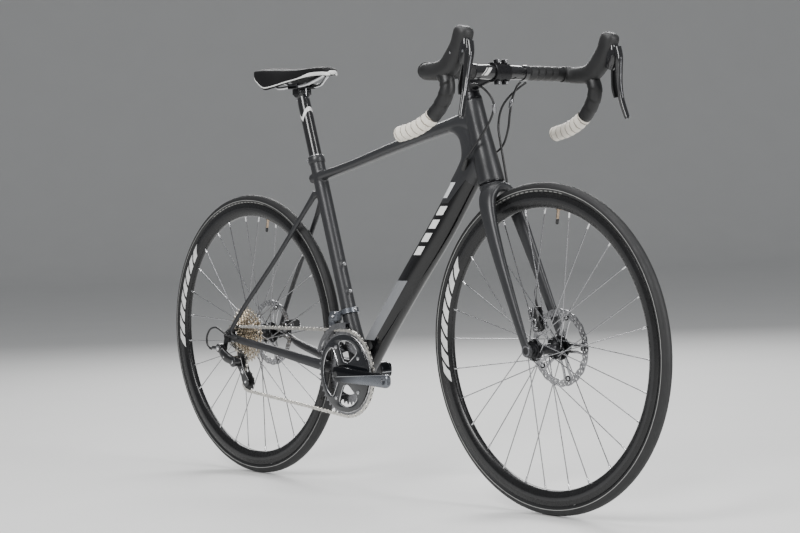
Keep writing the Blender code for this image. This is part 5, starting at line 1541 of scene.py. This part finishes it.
def belt(wheels):
    """(start, end) of each straight run of a belt round wheels of (centre, radius, turn)."""
    runs = []
    for number, (centre, radius, turn) in enumerate(wheels):
        other, other_radius, other_turn = wheels[(number + 1) % len(wheels)]
        between = Vector((other.x - centre.x, other.z - centre.z))
        heading = math.atan2(between.y, between.x)
        heading += math.asin((turn * radius - other_turn * other_radius) / between.length)
        outward = heading - math.pi / 2
        first = outward if turn > 0 else outward + math.pi
        second = outward if other_turn > 0 else outward + math.pi
        runs.append((on_plane(first, radius, centre, centre.y),
                     on_plane(second, other_radius, other, other.y)))
    return runs


def chain_path():
    """The chain's centre line in fine steps, round the ring, the sprocket and both pulleys."""
    ring_centre = Vector((BOTTOM_BRACKET.x, BIG_RING_Y, BOTTOM_BRACKET.z))
    sprocket = Vector((REAR_AXLE.x, SMALL_SPROCKET_Y, REAR_AXLE.z))
    wheels = [
        (ring_centre, pitch_radius(BIG_RING_TEETH), 1), (sprocket, pitch_radius(11), 1),
        (GUIDE_PULLEY, pitch_radius(11), -1), (TENSION_PULLEY, pitch_radius(11), 1),
    ]
    runs = belt(wheels)
    points = []
    for place, (centre, radius, turn) in enumerate(wheels):
        arrive, leave = runs[place - 1][1], runs[place][0]
        start = math.atan2(arrive.z - centre.z, arrive.x - centre.x)
        finish = math.atan2(leave.z - centre.z, leave.x - centre.x)
        sweep_angle = (finish - start) % math.tau if turn > 0 else -((start - finish) % math.tau)
        steps = max(6, round(abs(sweep_angle) / math.radians(3)))
        points += [on_plane(start + sweep_angle * k / steps, radius, centre, centre.y)
                   for k in range(steps + 1)]
        first, last = runs[place]
        if abs(first.y - last.y) > 0.001:
            guided = 0.026 / (last - first).length
            for share, level in ((guided, first.y), (1 - guided, last.y)):
                point = first.lerp(last, share)
                points.append(Vector((point.x, level, point.z)))
    return points


def chain_pins():
    """Evenly spaced pin centres round the whole chain."""
    points = chain_path()
    closed = points + [points[0]]
    lengths = [(b - a).length for a, b in zip(closed, closed[1:])]
    total = sum(lengths)
    count = 2 * round(total / LINK_PITCH / 2)
    pins, gone, want = [], 0.0, total / count
    for a, b, length in zip(closed, closed[1:], lengths):
        while len(pins) < count and want * len(pins) <= gone + length:
            pins.append(a.lerp(b, (want * len(pins) - gone) / max(length, 1e-9)))
        gone += length
    return pins


def link_mesh(first, second, outer):
    """A link between two pins: two waisted side plates, and rollers if it's an inner one."""
    along = second - first
    middle = (first + second) / 2
    forward = along.normalized()
    up = forward.cross(Y_AXIS).normalized()
    across = up.cross(forward).normalized()
    half = along.length / 2
    outline_points = []
    for k in range(7):
        angle = -math.pi / 2 + math.pi * k / 6
        outline_points.append((half + 0.0040 * math.cos(angle), 0.0040 * math.sin(angle)))
    outline_points.append((0.0, 0.0029))
    for k in range(7):
        angle = math.pi / 2 + math.pi * k / 6
        outline_points.append((-half + 0.0040 * math.cos(angle), 0.0040 * math.sin(angle)))
    outline_points.append((0.0, -0.0029))
    mesh = bmesh.new()
    near, far = (0.0018, 0.0026) if outer else (0.0010, 0.0017)
    for way in (-1, 1):
        low = [mesh.verts.new(middle + forward * x + up * z + across * way * near) for x, z in outline_points]
        high = [mesh.verts.new(middle + forward * x + up * z + across * way * far) for x, z in outline_points]
        mesh.faces.new(low if way < 0 else low[::-1])
        mesh.faces.new(high[::-1] if way < 0 else high)
        for a in range(len(low)):
            b = (a + 1) % len(low)
            mesh.faces.new((low[a], low[b], high[b], high[a]))
    if outer:
        return joined(mesh, rod(first - across * 0.0029, first + across * 0.0029, 0.0017, 10),
                      rod(second - across * 0.0029, second + across * 0.0029, 0.0017, 10))
    return joined(mesh, rod(first - across * 0.0010, first + across * 0.0010, 0.0038, 12),
                  rod(second - across * 0.0010, second + across * 0.0010, 0.0038, 12))


def make_chain(looks):
    pins = chain_pins()
    count = len(pins)
    groups = {"upper": [], "guide": [], "lower": []}
    for number in range(count):
        first, second = pins[number], pins[(number + 1) % count]
        middle = (first + second) / 2
        from_guide = math.hypot(middle.x - GUIDE_PULLEY.x, middle.z - GUIDE_PULLEY.z)
        below = middle.x < -0.40 and middle.z < GUIDE_PULLEY.z
        run = middle.z < 0.2300 and middle.x < -0.09
        kind = "guide" if from_guide < 0.0235 else "lower" if below or run else "upper"
        groups[kind].append((first, second, number % 2 == 0))
    for kind, links in groups.items():
        mesh = joined(*[link_mesh(*link) for link in links])
        if kind == "upper":
            piece("chain_upper", mesh, looks["chain"], "frame", ["chain"], 35)
            continue
        part = piece(f"chain_{kind}", mesh, looks["chain"], None, (), 35, riding=False)
        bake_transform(part)
    return pins


def wheel_phase(centre, pins, radius):
    """The angle of a pin that lies on a wheel, so that the wheel's seats meet the chain."""
    near = [pin for pin in pins if abs(math.hypot(pin.x - centre.x, pin.z - centre.z) - radius) < 0.0006]
    pin = near[len(near) // 2]
    return math.atan2(pin.z - centre.z, pin.x - centre.x)


def crank_look():
    """Satin grey with a gloss black upper panel and a bright edge between the two."""
    look = Look("crank_satin", (0.17, 0.18, 0.20), 0.27, metallic=0.8)
    forward = Vector((math.cos(CRANK_ANGLE), 0, math.sin(CRANK_ANGLE)))
    upright = Vector((-forward.z, 0, forward.x))
    along = look.along(BOTTOM_BRACKET, forward)
    high = look.along(BOTTOM_BRACKET, upright)
    edge = look.add(high, look.times(look.size(along), -0.110))
    edge = look.add(edge, 0.005)
    look.vary(look.noise(18, 3), 0.08)
    look.scuff(look.noise(60, 3), 0.03)
    look.bump(look.noise(700, 2), 0.00002, 0.3)
    look.paint(look.ramp(look.size(along), 0.085, 0.015), (0.020, 0.021, 0.024), 0.22)
    panel = look.ramp(edge, -0.0005, 0.0003)
    look.paint(panel, (0.010, 0.011, 0.014), 0.14)
    look.paint(look.band(edge, -0.0010, -0.0002, 0.0002), (0.75, 0.76, 0.78), 0.2)
    return look


def make_cranks(looks):
    forward = Vector((math.cos(CRANK_ANGLE), 0, math.sin(CRANK_ANGLE)))
    upright = Vector((-forward.z, 0, forward.x))
    arm_look = crank_look()
    for side, name, way in ((-1, "right", 1), (1, "left", -1)):
        reach = forward * way
        line = [
            (BOTTOM_BRACKET + Y_AXIS * side * 0.0690 - reach * 0.0150, 0.0050, 0.0110),
            (BOTTOM_BRACKET + Y_AXIS * side * 0.0692 - reach * 0.0100, 0.0075, 0.0160),
            (BOTTOM_BRACKET + Y_AXIS * side * 0.0700 + reach * 0.004, 0.0087, 0.0185),
            (BOTTOM_BRACKET + Y_AXIS * side * 0.0715 + reach * 0.050, 0.0087, 0.0168),
            (BOTTOM_BRACKET + Y_AXIS * side * 0.0730 + reach * 0.110, 0.0077, 0.0150),
            (BOTTOM_BRACKET + Y_AXIS * side * 0.0730 + reach * 0.168, 0.0068, 0.0158),
            (BOTTOM_BRACKET + Y_AXIS * side * 0.0730 + reach * 0.1790, 0.0064, 0.0140),
            (BOTTOM_BRACKET + Y_AXIS * side * 0.0730 + reach * 0.1845, 0.0060, 0.0095),
        ]
        parts = [sweep(line, upright, 6, 40, 3.4)]
        parts.append(rod(BOTTOM_BRACKET + Y_AXIS * side * 0.0430, BOTTOM_BRACKET + Y_AXIS * side * 0.066,
                         0.0198, 48))
        pedal = BOTTOM_BRACKET + reach * 0.1725
        parts.append(rod(pedal + Y_AXIS * side * 0.0680, pedal + Y_AXIS * side * 0.0801, 0.0117, 40))
        shell = fused(joined(*parts), 0.0012, 3)
        holes = [rod(pedal + Y_AXIS * side * 0.05, pedal + Y_AXIS * side * 0.10, 0.0071, 40),
                 rod(BOTTOM_BRACKET + Y_AXIS * side * 0.0762, BOTTOM_BRACKET + Y_AXIS * side * 0.09,
                     0.0085, 40)]
        piece(f"crank_{name}", carved(shell, holes), arm_look, "crankset",
              [f"crank_arm_{name}"], 45)
        ring = lathe([(0.0774, 0.0070), (0.0774, 0.0086), (0.0793, 0.0086), (0.0799, 0.0080),
                      (0.0799, 0.0070)], pedal, Y_AXIS * side, 40)
        cap = lathe([(0.0755, 0), (0.0755, 0.0082), (0.0772, 0.0078), (0.0776, 0.0040), (0.0770, 0)],
                    BOTTOM_BRACKET, Y_AXIS * side, 40)
        piece(f"pedal_thread_{name}", ring, looks["silver"], "crankset")
        piece(f"crank_cap_{name}", cap, looks["gloss"], "crankset")
    carry("crank_spindle", looks["steel"])


def rounded(corners, radius, steps=6):
    """A closed outline whose corners are cut back by radius and bent round."""
    points = []
    for number, corner in enumerate(corners):
        here = Vector(corner)
        before, after = Vector(corners[number - 1]), Vector(corners[(number + 1) % len(corners)])
        start = here + (before - here).normalized() * min(radius, (before - here).length * 0.5)
        end = here + (after - here).normalized() * min(radius, (after - here).length * 0.5)
        for k in range(steps + 1):
            t = k / steps
            point = start * (1 - t) ** 2 + here * 2 * t * (1 - t) + end * t ** 2
            points.append((point.x, point.y))
    return points


def window_loop(first, last):
    """An opening of the spider between two of its arms, as (x, y) points about the centre."""
    outside, inside = 0.0765, 0.0270
    outer_gap, inner_gap = 0.0125 / outside, 0.0100 / inside
    arcs = 3 if last - first < 2 else 5
    corners = []
    for k in range(arcs + 1):
        turn = first + outer_gap + (last - first - 2 * outer_gap) * k / arcs
        corners.append(polar(turn, outside if 0 < k < arcs else outside - 0.0045))
    for k in range(3):
        corners.append(polar(last - inner_gap + (first - last + 2 * inner_gap) * k / 2, inside))
    return rounded(corners, 0.0110)


def make_rings(looks, pins):
    ring_centre = Vector((BOTTOM_BRACKET.x, 0, BOTTOM_BRACKET.z))
    big_phase = wheel_phase(ring_centre, pins, pitch_radius(BIG_RING_TEETH))
    teeth = chain_wheel(BIG_RING_TEETH, big_phase, 0.0790, 0.0018, ring_centre, BIG_RING_Y)
    piece("big_ring_teeth", teeth, looks["dim_steel"], "crankset", ["chainring_outer"])

    windows = []
    for first, last in ((36, 116), (116, 244), (-116, -36)):
        windows.append(window_loop(CRANK_ANGLE + math.radians(first), CRANK_ANGLE + math.radians(last)))
    face_y = BIG_RING_Y - 0.0042
    body = plate([circle(0.0872, 160), circle(0.0120, 32), *windows], 0.0054,
                 wheel_plane(ring_centre, face_y), 0.0012, 3)
    piece("spider", body, looks["crank_black"], "crankset", (), 30)
    trims = []
    for loop in windows:
        points = [Vector((ring_centre.x + x, face_y - 0.0024, ring_centre.z + z)) for x, z in loop]
        trims.append(tube(points + [points[0]], 0.0008, 8, 1))
    piece("spider_trim", joined(*trims), looks["silver"], "crankset")

    edge = lathe([(BIG_RING_Y - 0.0009, 0.0876), (BIG_RING_Y - 0.0030, 0.0876), (BIG_RING_Y - 0.0030, 0.0886),
                  (BIG_RING_Y - 0.0009, 0.0896)], ring_centre, Y_AXIS, 160)
    piece("big_ring_edge", edge, looks["silver"], "crankset")
    small_phase = big_phase + math.pi / SMALL_RING_TEETH
    small = chain_wheel(SMALL_RING_TEETH, small_phase, 0.0485, 0.0018, ring_centre, SMALL_RING_Y)
    piece("small_ring", small, looks["dim_steel"], "crankset", ["chainring_inner"])
    bolts = []
    for degrees in (36, -36, 116, -116):
        angle = CRANK_ANGLE + math.radians(degrees)
        spot = on_plane(angle, 0.0640, ring_centre, BIG_RING_Y - 0.0058)
        bolts.append(socket_bolt(spot - Y_AXIS * 0.0012, -Y_AXIS, 0.0046, 0.0016))
        back = on_plane(angle, 0.0550, ring_centre, SMALL_RING_Y + 0.0008)
        bolts.append(rod(back - Y_AXIS * 0.008, back + Y_AXIS * 0.0012, 0.0044, 24, 0.0004))
    piece("ring_bolts", joined(*bolts), looks["steel"], "crankset")


def make_cassette(looks, pins):
    centre = Vector((REAR_AXLE.x, 0, REAR_AXLE.z))
    phase = wheel_phase(centre, pins, pitch_radius(11))
    wheels = []
    for number, teeth in enumerate(SPROCKET_TEETH):
        y = SMALL_SPROCKET_Y + SPROCKET_SPACING * number
        windows = 0 if teeth < 18 else 6
        rim = 0.0085
        wheels.append(chain_wheel(teeth, phase, 0.0170, 0.0016, centre, y, windows, rim))
    piece("sprockets", joined(*wheels), looks["sprocket"], "cassette", ["cassette_sprockets"])
    body = lathe([(-0.0700, AXLE_HOLE), (-0.0700, 0.0092), (-0.0650, 0.0096), (-0.0640, 0.0120),
                  (-0.0636, 0.0172), (-0.0228, 0.0178), (-0.0228, AXLE_HOLE)], REAR_AXLE, Y_AXIS, 48)
    piece("freehub", body, looks["black"], "cassette")
    notched = []
    for k in range(96):
        angle = math.tau * k / 96
        notched.append(polar(angle, 0.0165 if k % 8 < 4 else 0.0152))
    ring = plate([notched, circle(0.0105, 40)], 0.0016, wheel_plane(centre, -0.0645), 0.0003)
    piece("lock_ring", ring, looks["silver"], "cassette")


def cage_piece(degrees, low, high, y_low, y_high):
    angle = math.radians(degrees)
    corners = ((low, y_low), (high, y_low), (high, y_high), (low, y_high))
    return [on_plane(angle, radius, BOTTOM_BRACKET, y) for radius, y in corners]


def make_front_derailleur(looks):
    centre = seat_point(0.1405)
    band = lathe([(-0.0060, 0.0190), (-0.0060, 0.0212), (-0.0052, 0.0222), (0.0052, 0.0222),
                  (0.0060, 0.0212), (0.0060, 0.0190)], centre, SEAT_AXIS, 64)
    body = fused(joined(
        block(Vector((-0.1480, -0.0282, 0.3900)), (0.0290, 0.0170, 0.0230), None, 0.004, 4),
        block(Vector((-0.1575, -0.0305, 0.3760)), (0.0200, 0.0095, 0.0290), None, 0.003, 3),
        rod(Vector((-0.1460, -0.0375, 0.3905)), Vector((-0.1460, -0.0200, 0.3905)), 0.0090, 32),
        rod(Vector((-0.1570, -0.0365, 0.3660)), Vector((-0.1570, -0.0250, 0.3660)), 0.0068, 32),
    ), 0.0010, 3)
    piece("front_mech_body", joined(band, body), looks["crank_grey"], "frame",
          ["front_derailleur_mount"], 45)
    bolts = [
        socket_bolt(Vector((-0.1460, -0.0378, 0.3905)), -Y_AXIS, 0.0036, 0.0020),
        socket_bolt(Vector((-0.1570, -0.0368, 0.3660)), -Y_AXIS, 0.0032, 0.0020),
        socket_bolt(Vector((-0.1385, -0.0362, 0.3985)), -Y_AXIS, 0.0022, 0.0016),
        socket_bolt(centre + Vector((0.0225, 0, 0.0065)), Vector((0.9582, 0, 0.2861)), 0.0032, 0.0022),
    ]
    piece("front_mech_bolts", joined(*bolts), looks["silver"], "frame")
    rise = pitch_radius(BIG_RING_TEETH) + 0.0065
    outer_plate, inner_plate = [], []
    for step in range(29):
        degrees = 84 + 70 * step / 28
        top = rise + 0.0105 - 0.00014 * max(degrees - 110, 0)
        low = rise - 0.0035 + 0.0015 * math.sin(math.pi * step / 28)
        outer_plate.append(cage_piece(degrees, low, top, -0.0530, -0.0520))
        inner_plate.append(cage_piece(degrees, rise - 0.0020, top, -0.0402, -0.0392))
    bridge = [cage_piece(86 + 18 * k / 8, rise + 0.0085, rise + 0.0097, -0.0525, -0.0397) for k in range(9)]
    tail = [cage_piece(147 + 6 * k / 4, rise + 0.0010, rise + 0.0022, -0.0525, -0.0397) for k in range(5)]
    mesh = joined(loft(outer_plate), loft(inner_plate), loft(bridge), loft(tail))
    piece("front_mech_cage", mesh, looks["dim_steel"], "frame", ["front_derailleur_cage"])


def make_rear_derailleur(looks, pins):
    knuckle = Vector((-0.5210, 0, 0.3085))
    guide = Vector((GUIDE_PULLEY.x, 0, GUIDE_PULLEY.z))
    tension = Vector((TENSION_PULLEY.x, 0, TENSION_PULLEY.z))
    tail = Vector((-0.5550, 0, 0.3080))
    link = [
        (knuckle + Y_AXIS * -0.0930 - Z_AXIS * 0.002, 0.0068, 0.0093),
        ((knuckle + guide) / 2 + Y_AXIS * -0.0925 - Z_AXIS * 0.004, 0.0073, 0.0118),
        (guide + Y_AXIS * -0.0850 + X_AXIS * 0.002, 0.0063, 0.0098),
    ]
    body = fused(joined(
        rod(knuckle + Y_AXIS * -0.0838, knuckle + Y_AXIS * -0.1008, 0.0108, 40, 0.001),
        rod(guide + Y_AXIS * -0.0724, guide + Y_AXIS * -0.0898, 0.0133, 40, 0.001),
        sweep(link, Z_AXIS, 8, 28, 2.8),
        rod(knuckle + Y_AXIS * -0.0930, tail + Y_AXIS * -0.0930, 0.0049, 24),
    ), 0.0010, 3)
    piece("rear_mech_body", body, looks["gloss"], "frame", ["rear_derailleur_body"], 50)
    bolts = [
        socket_bolt(knuckle + Y_AXIS * -0.1006, -Y_AXIS, 0.0058, 0.0022),
        socket_bolt(guide + Vector((0.001, -0.0896, 0)), -Y_AXIS, 0.0050, 0.0020),
        socket_bolt((knuckle + guide) / 2 + Vector((0, -0.0992, -0.004)), -Y_AXIS, 0.0028, 0.0012),
    ]
    piece("rear_mech_bolts", joined(*bolts), looks["silver"], "frame")

    along = Vector((tension.x - guide.x, tension.z - guide.z))
    heading = math.atan2(along.y, along.x)
    reach = along.length
    loops = []
    for radius in (0.0125,):
        edge = []
        for k in range(13):
            edge.append((reach + radius * math.cos(-math.pi / 2 + math.pi * k / 12),
                         radius * math.sin(-math.pi / 2 + math.pi * k / 12)))
        edge.append((reach / 2, 0.0085))
        for k in range(13):
            edge.append((radius * math.cos(math.pi / 2 + math.pi * k / 12),
                         radius * math.sin(math.pi / 2 + math.pi * k / 12)))
        edge.append((reach / 2, -0.0085))
        loops.append(edge)
    slot = [(reach * 0.5 + 0.0085 * math.cos(a), 0.0035 * math.sin(a))
            for a in (math.tau * k / 16 for k in range(16))]
    loops.append(slot)
    parts = []
    for y in (-0.0710, -0.0545):
        place = wheel_plane(guide, y) @ Matrix.Rotation(heading, 4, "Z")
        parts.append(plate(loops, 0.0015, place, 0.0003))
    for centre in (guide, tension):
        parts.append(rod(centre + Y_AXIS * -0.0712, centre + Y_AXIS * -0.0543, 0.0026, 16))
    piece("rear_mech_cage", joined(*parts), looks["gloss"], "derailleur_cage",
          ["rear_derailleur_cage"])
    pulley_bolts = [socket_bolt(tension + Y_AXIS * -0.0717, -Y_AXIS, 0.0036, 0.0014)]
    piece("rear_mech_cage_bolts", joined(*pulley_bolts), looks["silver"], "derailleur_cage")
    for name, centre in (("guide_pulley", GUIDE_PULLEY), ("tension_pulley", TENSION_PULLEY)):
        phase = wheel_phase(centre, pins, pitch_radius(11))
        pulley = joined(
            plate([toothed(11, phase, 0.0036, 0.0024), circle(0.0030, 24)], 0.0020, wheel_plane(centre)),
            lathe([(-0.0030, 0.0030), (-0.0030, 0.0062), (0.0030, 0.0062), (0.0030, 0.0030)], centre,
                  Y_AXIS, 32))
        piece(f"{name}_wheel", pulley, looks["dark"], name, [name])


# ---------------------------------------------------------------- assembly

def main():
    make_camera()
    looks = make_looks()
    make_stage()
    make_frame(looks)
    make_collar(looks)
    make_hanger(looks)
    for node in ("bottom_bracket_cup_right", "bottom_bracket_cup_left"):
        carry(node, looks["black"])
    for node in ("headset_bearing_lower", "headset_bearing_upper"):
        carry(node, looks["steel"])
    make_seat_post(looks)
    make_saddle(looks)
    make_fork(looks)
    make_stem(looks)
    make_bar(looks)
    make_hoods(looks)
    make_levers(looks)
    make_hoses(looks)
    for end, axle in (("front", FRONT_AXLE), ("rear", REAR_AXLE)):
        make_tyre(end, axle, looks)
        make_rim(end, axle, looks)
        make_spokes(end, axle, looks)
    make_hub("front", FRONT_AXLE, -0.0495, 0.0495, looks)
    make_hub("rear", REAR_AXLE, -0.0222, 0.0705, looks)
    make_rotor("front", FRONT_AXLE, 0.0395, looks)
    make_rotor("rear", REAR_AXLE, 0.0520, looks)
    make_axles(looks)
    make_caliper("front", Vector((0.4440, 0.0410, 0.3930)), -20, 0.0395, "steering", looks)
    make_caliper("rear", Vector((-0.4330, 0.0520, 0.3560)), 80, 0.0520, "frame", looks)
    make_cranks(looks)
    pins = make_chain(looks)
    make_rings(looks, pins)
    make_cassette(looks, pins)
    make_front_derailleur(looks)
    make_rear_derailleur(looks, pins)


main()
